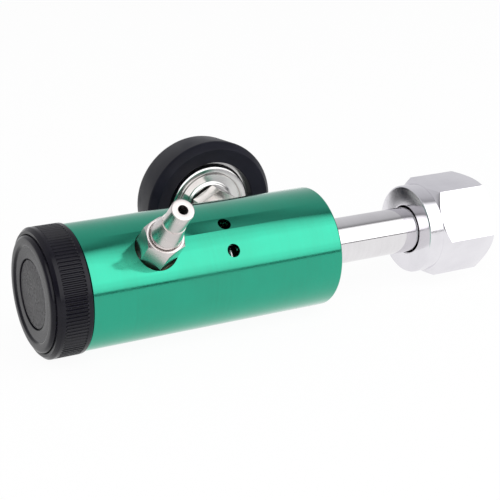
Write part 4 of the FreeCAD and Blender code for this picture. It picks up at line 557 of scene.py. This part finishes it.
black_plastic = moulded("black_plastic", (0.0052, 0.0048, 0.0086), (0.0092, 0.0086, 0.0135),
                        (0.18, 0.28), 3500.0, 0.006, gloss=0.21)
knob_shape = turned_shape(
    [
        (KNOB_RIM, KNOB_BORE),
        (KNOB_RIM, KNOB_RADIUS),
        (RIB_START + RIB_RUNOUT, KNOB_RADIUS),
        (RIB_START, KNOB_RADIUS),
        (RIB_END, KNOB_RADIUS),
        (RIB_END - RIB_RUNOUT, KNOB_RADIUS),
        (KNOB_SKIRT_FRONT + SKIRT_SLOPE, KNOB_RADIUS),
        (KNOB_SKIRT_FRONT, KNOB_RADIUS - SKIRT_SLOPE),
        (KNOB_SKIRT_FRONT, KNOB_RING_OUTER + STEP_WIDTH),
        (KNOB_SKIRT_FRONT + STEP_DEPTH, KNOB_RING_OUTER),
        (KNOB_RING_FRONT, KNOB_RING_OUTER),
        (KNOB_RING_FRONT, KNOB_RING_INNER),
        (KNOB_FACE, KNOB_RING_INNER - RING_SLOPE),
        (KNOB_FACE, PLATE_RECESS),
        (PLATE_FLOOR, PLATE_RECESS),
        (PLATE_FLOOR, SHAFT_HOLE),
        (KNOB_INSIDE, SHAFT_HOLE),
        (KNOB_INSIDE, KNOB_BORE),
    ],
    rounds=[(1, 0.3), (6, 0.25), (10, RING_ROUND), (11, 0.3), (13, 0.2)],
    steps=KNOB_RIBS * RIB_POINTS,
)
for corner in knob_shape.verts:
    radius = math.hypot(corner.co.y, corner.co.z) / MM
    in_ribs = RIB_END - MARGIN < corner.co.x / MM < RIB_START + MARGIN
    if in_ribs and radius > KNOB_RADIUS - MARGIN:
        turn_part = math.atan2(corner.co.y, corner.co.z) / (2 * math.pi) * KNOB_RIBS
        if not RIB_PART[0] <= turn_part % 1 <= RIB_PART[1]:
            corner.co.y *= 1 - RIB_DEPTH / KNOB_RADIUS
            corner.co.z *= 1 - RIB_DEPTH / KNOB_RADIUS
knob = finished("knob_moulding", knob_shape, "selector", black_plastic, sharp=28.0)
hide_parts("knob")
grained_plastic = moulded("grained_plastic", (0.007, 0.0066, 0.0085), (0.046, 0.044, 0.050),
                          (0.26, 0.42), 1700.0, 0.5, gloss=0.34, mottled=True)
plate_shape = turned_shape(
    [
        (PLATE_FLOOR, 0),
        (PLATE_FLOOR, PLATE_RADIUS),
        (PLATE_FACE, PLATE_RADIUS),
        (PLATE_FACE, 0),
    ],
    rounds=[(2, 0.2)],
)
plate = finished("knob_face_plate", plate_shape, "selector", grained_plastic)
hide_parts("knob_plate")

# Inlet tube: turned brass, polished and plated, from the body to the nose inside the nut. A
# shoulder holds the nut, and the filter sits in a wider bore in the rounded nose.
TUBE_REAR = -72.2
TUBE_RADIUS = 7.3
TUBE_BORE = 2.2
SHOULDER_REAR = -18.1
SHOULDER_FRONT = -14.6
SHOULDER_RADIUS = 10.2
NOSE_END = -4.5
NOSE_RADIUS = 8.0
NOSE_ROUND = 4.4
FILTER_SEAT = -11.8
FILTER_BORE = 3.0
polished_plate = metal("polished_plate", (0.80, 0.785, 0.80), (0.72, 0.705, 0.72), (0.04, 0.10),
                       per_metre=9000.0, depth=0.0004)
tube_shape = turned_shape(
    [
        (TUBE_REAR, TUBE_BORE),
        (TUBE_REAR, TUBE_RADIUS),
        (SHOULDER_REAR, TUBE_RADIUS),
        (SHOULDER_REAR, SHOULDER_RADIUS),
        (SHOULDER_FRONT, SHOULDER_RADIUS),
        (SHOULDER_FRONT, NOSE_RADIUS),
        (NOSE_END, NOSE_RADIUS),
        (NOSE_END, FILTER_BORE),
        (FILTER_SEAT, FILTER_BORE),
        (FILTER_SEAT, TUBE_BORE),
    ],
    rounds=[(6, NOSE_ROUND), (3, 0.3), (4, 0.3)],
)
inlet_tube = finished("inlet_tube", tube_shape, "regulator", polished_plate)
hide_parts("inlet_nipple")

# Inlet nut: forged and turned brass, plated, a round collar and a hexagon whose corners are
# turned off at both ends, threaded inside its mouth.
NUT_ACROSS = 28.575
NUT_CORNER = NUT_ACROSS / 2 / math.cos(math.radians(30))
NUT_ANGLE = 3.5
NUT_HEX = 20.4
COLLAR_LENGTH = 5.0
COLLAR_RADIUS = 14.2
COLLAR_BORE = 7.75
COLLAR_OVERLAP = 0.1
CORNER_SLOPE = 38.0
CORNER_TRIM = 0.05
NUT_BORE = 10.7
NUT_FLOOR = 7.0
MOUTH_RADIUS = 11.6
MOUTH_DEPTH = 0.9
NUT_EDGE_ROUND = 0.18
BAR_LENGTH = 60.0
THREAD_START = -1.2
THREAD_PITCH = 1.814
THREAD_WIDTH = 0.95
THREAD_CREST = 10.25
THREAD_ROOT = NUT_BORE + 0.02
THREAD_TURNS = 6.5
THREAD_STEPS = 420
nut_end_radius = NUT_ACROSS / 2 - CORNER_TRIM
corner_fall = (NUT_CORNER - NUT_ACROSS / 2 + CORNER_TRIM) * math.tan(math.radians(CORNER_SLOPE))
hex_blank = turned_shape(
    [
        (-NUT_HEX, NUT_BORE),
        (-NUT_HEX, nut_end_radius),
        (-NUT_HEX + corner_fall, NUT_CORNER),
        (-corner_fall, NUT_CORNER),
        (0, nut_end_radius),
        (0, MOUTH_RADIUS),
        (-MOUTH_DEPTH, NUT_BORE),
    ],
)


def hexagon_bar(corner_radius):
    """A hexagon bar that stands upright around the origin."""
    bar = bmesh.new()
    bmesh.ops.create_cone(bar, cap_ends=True, segments=6, radius1=corner_radius * MM,
                          radius2=corner_radius * MM, depth=BAR_LENGTH * MM)
    return bar


hex_bar = hexagon_bar(NUT_CORNER)
hex_bar.transform(Matrix.Rotation(math.radians(90), 4, "Y"))
hex_bar.transform(along_axis(NUT_ANGLE))
nut_shape = cut_by(hex_blank, [hex_bar], "INTERSECT")
soften(nut_shape, NUT_EDGE_ROUND,
       lambda middle: math.hypot(middle.y, middle.z) > (MOUTH_RADIUS + MARGIN) * MM)
nut_plate = metal("nut_plate", (0.83, 0.815, 0.85), (0.74, 0.725, 0.765), (0.10, 0.22),
                  per_metre=2600.0, depth=0.0014)
nut_hexagon = finished("nut_hexagon", nut_shape, "nut", nut_plate, sharp=20.0)
collar_shape = turned_shape(
    [
        (-NUT_HEX - COLLAR_LENGTH, COLLAR_BORE),
        (-NUT_HEX - COLLAR_LENGTH, COLLAR_RADIUS),
        (-NUT_HEX + COLLAR_OVERLAP, COLLAR_RADIUS),
        (-NUT_HEX + COLLAR_OVERLAP, NUT_BORE),
        (-NUT_HEX - COLLAR_LENGTH + NUT_FLOOR, NUT_BORE),
        (-NUT_HEX - COLLAR_LENGTH + NUT_FLOOR, COLLAR_BORE),
    ],
    rounds=[(1, 0.6), (0, 0.4)],
)
nut_collar = finished("nut_collar", collar_shape, "nut", nut_plate)
thread_shape = bmesh.new()
thread_section = [
    (THREAD_START, THREAD_ROOT),
    (THREAD_START - THREAD_PITCH / 2, THREAD_CREST),
    (THREAD_START - THREAD_PITCH * THREAD_WIDTH, THREAD_ROOT),
]
thread_shape.faces.new([thread_shape.verts.new((along * MM, 0, radius * MM))
                        for along, radius in thread_section])
bmesh.ops.spin(
    thread_shape, geom=list(thread_shape.verts) + list(thread_shape.edges)
    + list(thread_shape.faces), cent=(0, 0, 0), axis=(1, 0, 0),
    dvec=(-THREAD_PITCH * THREAD_TURNS / THREAD_STEPS * MM, 0, 0),
    angle=2 * math.pi * THREAD_TURNS, steps=THREAD_STEPS,
)
bmesh.ops.remove_doubles(thread_shape, verts=thread_shape.verts, dist=1e-7)
bmesh.ops.recalc_face_normals(thread_shape, faces=thread_shape.faces)
nut_thread = finished("nut_thread", thread_shape, "nut", nut_plate)
for piece in (nut_hexagon, nut_collar, nut_thread):
    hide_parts("inlet_nut")

# Outlet barb: turned from hexagon bar and nickel plated, screwed into the outlet block through
# the sleeve's opening, with a hose tail and a bore.
BARB_ACROSS = 11.0
BARB_CORNER = BARB_ACROSS / 2 / math.cos(math.radians(30))
BARB_SEAT = 16.3
BARB_HEX_TOP = 26.6
BARB_HEX_BORE = 4.35
BARB_ANGLE = 23.5
BARB_EDGE_ROUND = 0.12
BARB_EDGE_FROM = 5.2
BARB_SINK_RADIUS = 4.9
BARB_SINK_DEPTH = 0.35
BARB_SINK_FLOOR = 4.6
BARB_BORE = 1.42
BARB_FOOT = 11.1
BARB_FOOT_RADIUS = 4.4
BARB_NECK = 26.0
BARB_NECK_RADIUS = 3.9
BARB_RING = 27.3
BARB_RING_RADIUS = 4.3
BARB_CONE = 27.8
BARB_CONE_RADIUS = 4.65
BARB_CONE_END = 34.2
BARB_CONE_TIP = 3.5
BARB_TAIL_RADIUS = 3.3
BARB_TOP = 42.0
BARB_STEPS = 128
barb_place = along_axis(OUTLET_ANGLE, OUTLET_X)
matt_nickel = metal("matt_nickel", (0.70, 0.655, 0.645), (0.60, 0.56, 0.55), (0.20, 0.32),
                    place=barb_place @ UPRIGHT, per_metre=7000.0, depth=0.003)
tail_shape = turned_shape(
    [
        (BARB_FOOT, BARB_BORE),
        (BARB_FOOT, BARB_FOOT_RADIUS),
        (BARB_NECK, BARB_FOOT_RADIUS),
        (BARB_HEX_TOP, BARB_NECK_RADIUS),
        (BARB_RING, BARB_NECK_RADIUS),
        (BARB_RING, BARB_RING_RADIUS),
        (BARB_CONE, BARB_RING_RADIUS),
        (BARB_CONE, BARB_CONE_RADIUS),
        (BARB_CONE_END, BARB_CONE_TIP),
        (BARB_CONE_END, BARB_TAIL_RADIUS),
        (BARB_TOP, BARB_TAIL_RADIUS),
        (BARB_TOP, BARB_BORE),
    ],
    rounds=[(10, 0.3), (7, 0.2), (11, 0.15)],
    upright=True,
    steps=BARB_STEPS,
)
tail_shape.transform(barb_place)
hose_tail = finished("hose_tail", tail_shape, "regulator", matt_nickel)
barb_fall = BARB_CORNER - BARB_ACROSS / 2 + CORNER_TRIM
barb_hex_blank = turned_shape(
    [
        (BARB_SEAT, BARB_HEX_BORE),
        (BARB_SEAT, BARB_CORNER),
        (BARB_HEX_TOP - barb_fall, BARB_CORNER),
        (BARB_HEX_TOP, BARB_ACROSS / 2 - CORNER_TRIM),
        (BARB_HEX_TOP, BARB_SINK_RADIUS),
        (BARB_HEX_TOP - BARB_SINK_DEPTH, BARB_SINK_FLOOR),
        (BARB_HEX_TOP - BARB_SINK_DEPTH, BARB_HEX_BORE),
    ],
    upright=True,
    steps=BARB_STEPS,
)
barb_bar = hexagon_bar(BARB_CORNER)
barb_bar.transform(Matrix.Rotation(math.radians(BARB_ANGLE - 90), 4, "Z"))
barb_hex_shape = cut_by(barb_hex_blank, [barb_bar], "INTERSECT")
soften(barb_hex_shape, BARB_EDGE_ROUND,
       lambda middle: math.hypot(middle.x, middle.y) > BARB_EDGE_FROM * MM)
barb_hex_shape.transform(barb_place)
barb_hexagon = finished("barb_hexagon", barb_hex_shape, "regulator", matt_nickel, sharp=20.0)
for piece in (hose_tail, barb_hexagon):
    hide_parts("outlet_barb")

# Gauge: a pressed and plated steel case with a ring-shaped groove in its back, in a black rubber
# boot, screwed to the body by its stem. Heights here are measured from the body's axis.
BOOT_MOUTH = 42.4
BOOT_MOUTH_RADIUS = 15.7
BOOT_BACK = 40.9
BOOT_BACK_RADIUS = 20.7
BOOT_SHOULDER = 43.5
BOOT_RADIUS = 22.8
BOOT_FRONT = 58.0
BOOT_FRONT_RADIUS = 20.9
BOOT_FRONT_ROUND = 3.6
BOOT_WINDOW = 17.4
BOOT_LIP = 56.75
BOOT_INSIDE = 19.95
BOOT_SEAT = 45.15
CASE_SHEET = 0.6
CASE_BACK = 43.0
CASE_STEM_HOLE = 5.05
CASE_GROOVE_DEPTH = 0.7
CASE_GROOVE_INNER = 8.0
CASE_GROOVE_OUTER = 12.0
CASE_FLAT_RADIUS = 14.0
CASE_STEP = 45.2
CASE_RADIUS = 19.9
CASE_FRONT = 56.0
gauge_place = along_axis(GAUGE_ANGLE, GAUGE_X)
black_rubber = moulded("black_rubber", (0.0048, 0.0050, 0.0102), (0.0125, 0.0128, 0.0210),
                       (0.36, 0.52), 2600.0, 0.012, gloss=0.14)
boot_shape = turned_shape(
    [
        (BOOT_MOUTH, BOOT_MOUTH_RADIUS),
        (BOOT_BACK, BOOT_BACK_RADIUS),
        (BOOT_SHOULDER, BOOT_RADIUS),
        (BOOT_FRONT, BOOT_FRONT_RADIUS),
        (BOOT_FRONT, BOOT_WINDOW),
        (BOOT_LIP, BOOT_WINDOW),
        (BOOT_LIP, BOOT_INSIDE),
        (BOOT_SEAT, BOOT_INSIDE),
        (BOOT_SEAT, BOOT_MOUTH_RADIUS),
    ],
    rounds=[(3, BOOT_FRONT_ROUND), (4, 0.4), (0, 0.3), (1, 0.25), (2, 0.6)],
    upright=True,
)
boot_shape.transform(gauge_place)
boot = finished("rubber_boot", boot_shape, "regulator", black_rubber, sharp=25.0)
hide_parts("gauge_boot")
zinc_plate = metal("zinc_plate", (0.68, 0.675, 0.665), (0.56, 0.555, 0.55), (0.12, 0.24),
                   place=gauge_place @ UPRIGHT, per_metre=2200.0, depth=0.002)
groove_floor = CASE_BACK + CASE_GROOVE_DEPTH
case_shape = turned_shape(
    [
        (CASE_BACK, CASE_STEM_HOLE),
        (CASE_BACK, CASE_GROOVE_INNER),
        (groove_floor, CASE_GROOVE_INNER + CASE_SHEET),
        (groove_floor, CASE_GROOVE_OUTER - CASE_SHEET),
        (CASE_BACK, CASE_GROOVE_OUTER),
        (CASE_BACK, CASE_FLAT_RADIUS),
        (CASE_STEP, CASE_FLAT_RADIUS + CASE_SHEET),
        (CASE_STEP, CASE_RADIUS),
        (CASE_FRONT, CASE_RADIUS),
        (CASE_FRONT, CASE_RADIUS - CASE_SHEET),
        (CASE_STEP + CASE_SHEET, CASE_RADIUS - CASE_SHEET),
        (CASE_STEP + CASE_SHEET, CASE_FLAT_RADIUS),
        (CASE_BACK + CASE_SHEET, CASE_FLAT_RADIUS - CASE_SHEET),
        (CASE_BACK + CASE_SHEET, CASE_GROOVE_OUTER + MARGIN),
        (groove_floor + CASE_SHEET, CASE_GROOVE_OUTER - CASE_SHEET),
        (groove_floor + CASE_SHEET, CASE_GROOVE_INNER + CASE_SHEET),
        (CASE_BACK + CASE_SHEET, CASE_GROOVE_INNER - MARGIN),
        (CASE_BACK + CASE_SHEET, CASE_STEM_HOLE),
    ],
    rounds=[(1, 0.3), (2, 0.4), (3, 0.4), (4, 0.4), (5, 0.8), (7, 0.5)],
    upright=True,
)
case_shape.transform(gauge_place)
case = finished("steel_case", case_shape, "regulator", zinc_plate, sharp=40.0)
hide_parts("gauge_case")
gauge_nickel = metal("gauge_nickel", (0.70, 0.67, 0.65), (0.60, 0.57, 0.56), (0.14, 0.26),
                     place=gauge_place @ UPRIGHT, per_metre=5000.0, depth=0.002)
dress(gauge_nickel, "gauge_port", "gauge_stem")
dress(black_plastic, "gauge_bezel")

# Dial: a pressed disc in white enamel, printed with a black scale over 270 degrees and a red
# start, with a black pointer, under a clear moulded lens.
DIAL_FACE = 52.2
PRINT_RISE = 0.02
SCALE_RADIUS = 16.6
SCALE_START = 45.0
SCALE_SWEEP = 270.0
SCALE_PARTS = 30
NUMBERS_EVERY = 5
NUMBER_STEP = 500
DIAL_NUMBER_RADIUS = 11.9
DIAL_NUMBER_HEIGHT = 2.9
MAIN_MARK = (2.2, 0.42)
SMALL_MARK = (1.2, 0.2)
RED_INNER = SCALE_RADIUS + 0.25
RED_OUTER = SCALE_RADIUS + 1.0
UPSIDE = Matrix.Rotation(math.pi, 4, "Z")
white_enamel = moulded("white_enamel", (0.86, 0.86, 0.84), (0.80, 0.80, 0.775), (0.22, 0.34),
                       1800.0, 0.002)
dress(white_enamel, "gauge_dial")
black_print = moulded("black_print", (0.012, 0.012, 0.013), (0.022, 0.022, 0.023),
                      (0.35, 0.5), 3000.0, 0.002)
red_print = moulded("red_print", (0.42, 0.018, 0.015), (0.36, 0.025, 0.02), (0.35, 0.5),
                    3000.0, 0.002)
dial_place = gauge_place @ Matrix.Translation((0, 0, (DIAL_FACE + PRINT_RISE / 2) * MM)) @ UPSIDE


def scale_angle(part):
    """The angle of a mark on the scale, in radians from the dial's X axis."""
    return math.radians(180 + SCALE_START - SCALE_SWEEP * part / SCALE_PARTS)


scale_marks = bmesh.new()
for part in range(SCALE_PARTS + 1):
    length, width = MAIN_MARK if part % NUMBERS_EVERY == 0 else SMALL_MARK
    mark = bmesh.ops.create_cube(scale_marks, size=1.0)["verts"]
    bmesh.ops.scale(scale_marks, verts=mark, vec=(length * MM, width * MM, PRINT_RISE * MM))
    bmesh.ops.translate(scale_marks, verts=mark, vec=((SCALE_RADIUS - length / 2) * MM, 0, 0))
    bmesh.ops.rotate(scale_marks, verts=mark, cent=(0, 0, 0),
                     matrix=Matrix.Rotation(scale_angle(part), 3, "Z"))
scale_marks.transform(dial_place)
dial_marks = finished("dial_marks", scale_marks, "regulator", black_print)


def print_mesh(body, height):
    """Text as a thin closed mesh, centred, lying flat with its face up, in metres."""
    curve = bpy.data.curves.new("printed", "FONT")
    curve.body = body
    curve.size = height * MM
    curve.align_x = "CENTER"
    curve.align_y = "CENTER"
    curve.extrude = PRINT_RISE / 2 * MM
    curve.resolution_u = 4
    holder = bpy.data.objects.new("printed", curve)
    scene.collection.objects.link(holder)
    bpy.context.view_layer.update()
    data = bpy.data.meshes.new_from_object(
        holder.evaluated_get(bpy.context.evaluated_depsgraph_get()))
    bpy.data.objects.remove(holder)
    shape = bmesh.new()
    shape.from_mesh(data)
    bmesh.ops.remove_doubles(shape, verts=shape.verts, dist=1e-7)
    bpy.data.meshes.remove(data)
    return shape


for number in range(SCALE_PARTS // NUMBERS_EVERY + 1):
    angle = scale_angle(number * NUMBERS_EVERY)
    figure = print_mesh(str(number * NUMBER_STEP), DIAL_NUMBER_HEIGHT)
    figure.transform(Matrix.Translation((math.cos(angle) * DIAL_NUMBER_RADIUS * MM,
                                         math.sin(angle) * DIAL_NUMBER_RADIUS * MM, 0)))
    figure.transform(dial_place)
    dial_number = finished("dial_number_%d" % (number + 1), figure, "regulator", black_print)
red_arc = turned_shape(
    [
        (0, RED_INNER),
        (0, RED_OUTER),
        (PRINT_RISE, RED_OUTER),
        (PRINT_RISE, RED_INNER),
    ],
    upright=True,
    steps=32,
    arc=SCALE_SWEEP * NUMBERS_EVERY / SCALE_PARTS,
)
red_arc.transform(gauge_place @ Matrix.Translation((0, 0, DIAL_FACE * MM)) @ UPSIDE)
low_zone = finished("dial_low_zone", red_arc, "regulator", red_print)
pointer_enamel = moulded("pointer_enamel", (0.014, 0.014, 0.015), (0.026, 0.026, 0.028),
                         (0.28, 0.4), 3500.0, 0.003)
dress(pointer_enamel, "gauge_pointer")
clear_lens, lens_shader, lens_place = started("clear_lens", gauge_place @ UPRIGHT)
lens_shader.inputs["Base Color"].default_value = (0.97, 0.985, 0.98, 1)
lens_shader.inputs["Transmission Weight"].default_value = 1.0
lens_shader.inputs["IOR"].default_value = 1.49
lens_touch = group_in(clear_lens, handling, lens_place, 70.0)
clear_lens.node_tree.links.new(
    range_node(clear_lens.node_tree, lens_touch.outputs["Smudge"], 0.0, 1.0, 0.01, 0.05),
    lens_shader.inputs["Roughness"])
dress(clear_lens, "gauge_lens")

# Gauge movement: brass plates on posts, a toothed sector and link, a bent bronze tube, and the
# pointer's steel shaft with its hairspring.
gauge_brass = metal("gauge_brass", (0.72, 0.53, 0.24), (0.60, 0.43, 0.19), (0.22, 0.36),
                    place=gauge_place @ UPRIGHT, per_metre=4000.0, depth=0.002)
dress(gauge_brass, "movement_back_plate", "movement_front_plate", "near_pillar_post",
      "far_pillar_post", "gauge_sector", "gauge_link", "dial_post_1", "dial_post_2")
drawn_bronze = metal("drawn_bronze", (0.70, 0.46, 0.25), (0.56, 0.36, 0.19), (0.20, 0.34),
                     place=gauge_place @ UPRIGHT, per_metre=1500.0, depth=0.002)
dress(drawn_bronze, "pressure_tube")
fine_steel = metal("fine_steel", (0.56, 0.56, 0.58), (0.46, 0.46, 0.48), (0.14, 0.28),
                   place=gauge_place @ UPRIGHT, per_metre=9000.0, depth=0.0015)
dress(fine_steel, "pinion_shaft", "hairspring", "dial_screw_1", "dial_screw_2")

# Reducing valve, outlet and selector, inside the sleeve: a turned brass piston and disc, brass
# blocks coloured near black as painted shade, for the shade inside the vents and the outlet's
# opening, and small parts of bright steel.
turned_brass = metal("turned_brass", (0.72, 0.54, 0.25), (0.62, 0.45, 0.20), (0.20, 0.36),
                     per_metre=5000.0, depth=0.004)
dress(turned_brass, "orifice_disc", "piston")
# Painted shade: this near-black brass colour stands for the shade inside the sleeve's vents and
# opening.
shade_painted_brass = metal("shade_painted_brass", (0.085, 0.072, 0.050), (0.050, 0.043, 0.032),
                       (0.38, 0.55), per_metre=5000.0, depth=0.004)
dress(shade_painted_brass, "core_block", "outlet_block")
bright_steel = metal("bright_steel", (0.58, 0.58, 0.60), (0.48, 0.48, 0.50), (0.16, 0.32),
                     per_metre=7000.0, depth=0.002)
dress(bright_steel, "filter_clip", "selector_shaft", "detent_ball", "detent_spring", "snap_ring",
      "knob_screw")

# Piston spring: wound steel wire between the body and the piston's head, copied from the model's
# spring into a mesh of its own.
spring_copy = bmesh.new()
spring_copy.from_mesh(nodes["piston_spring"].data)
bmesh.ops.remove_doubles(spring_copy, verts=spring_copy.verts, dist=1e-7)
wound_spring = finished("wound_spring", spring_copy, "regulator", bright_steel, sharp=50.0)
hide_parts("piston_spring")
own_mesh(wound_spring)

# End cap, filter and seals: turned aluminium, bronze grains sintered together, black rubber
# O-rings and white plastic seals.
turned_aluminium = metal("turned_aluminium", (0.72, 0.73, 0.75), (0.62, 0.63, 0.65),
                         (0.24, 0.40), per_metre=3500.0, depth=0.004)
dress(turned_aluminium, "end_cap")
sintered_bronze, sintered_shader, sintered_place = started("sintered_bronze", Matrix())
sintered_shader.inputs["Metallic"].default_value = 1.0
sintered_surface = group_in(sintered_bronze, moulded_grain, sintered_place, 5000.0)
varied_color(sintered_bronze, sintered_shader, sintered_surface.outputs["Height"],
             (0.36, 0.23, 0.10), (0.62, 0.43, 0.20))
sintered_bronze.node_tree.links.new(
    range_node(sintered_bronze.node_tree, sintered_surface.outputs["Height"],
               0.3, 0.7, 0.62, 0.38),
    sintered_shader.inputs["Roughness"])
bumped(sintered_bronze, sintered_shader, sintered_surface.outputs["Height"], 0.12)
dress(sintered_bronze, "inlet_filter")
seal_rubber = moulded("seal_rubber", (0.014, 0.014, 0.015), (0.026, 0.026, 0.028), (0.38, 0.55),
                      4000.0, 0.004)
dress(seal_rubber, "stem_o_ring", "piston_o_ring", "shaft_o_ring")
white_seal = moulded("white_seal", (0.82, 0.81, 0.77), (0.74, 0.72, 0.67), (0.34, 0.5), 2500.0,
                     0.004)
dress(white_seal, "piston_seat", "outlet_seal", "barb_washer")

# Number ring: a white moulded ring that turns with the knob behind the window in the sleeve,
# printed with one flow number for each of the twelve orifices.
NUMBER_RING_RADIUS = 16.0
PRINT_GAP = 0.03
FLOW_NUMBER_HEIGHT = 4.0
FLOW_NUMBERS = (0, 1, 2, 3, 4, 5, 6, 8, 10, 12, 15, 20)
white_plastic = moulded("white_plastic", (0.86, 0.86, 0.835), (0.80, 0.795, 0.76), (0.30, 0.44),
                        2800.0, 0.003)
dress(white_plastic, "number_ring")

# Each flat number is bent around the ring and faces outwards.
for setting, flow in enumerate(FLOW_NUMBERS):
    figure = print_mesh(str(flow), FLOW_NUMBER_HEIGHT)
    middle_angle = math.radians(GAUGE_ANGLE + 360.0 / len(FLOW_NUMBERS) * setting)
    for corner in figure.verts:
        radius = (NUMBER_RING_RADIUS + PRINT_GAP) * MM + corner.co.z
        angle = middle_angle + corner.co.y / radius
        corner.co = Vector((WINDOW_X * MM - corner.co.x, -radius * math.sin(angle),
                            radius * math.cos(angle)))
    flow_number = finished("flow_number_%d" % (setting + 1), figure, "selector", black_print)
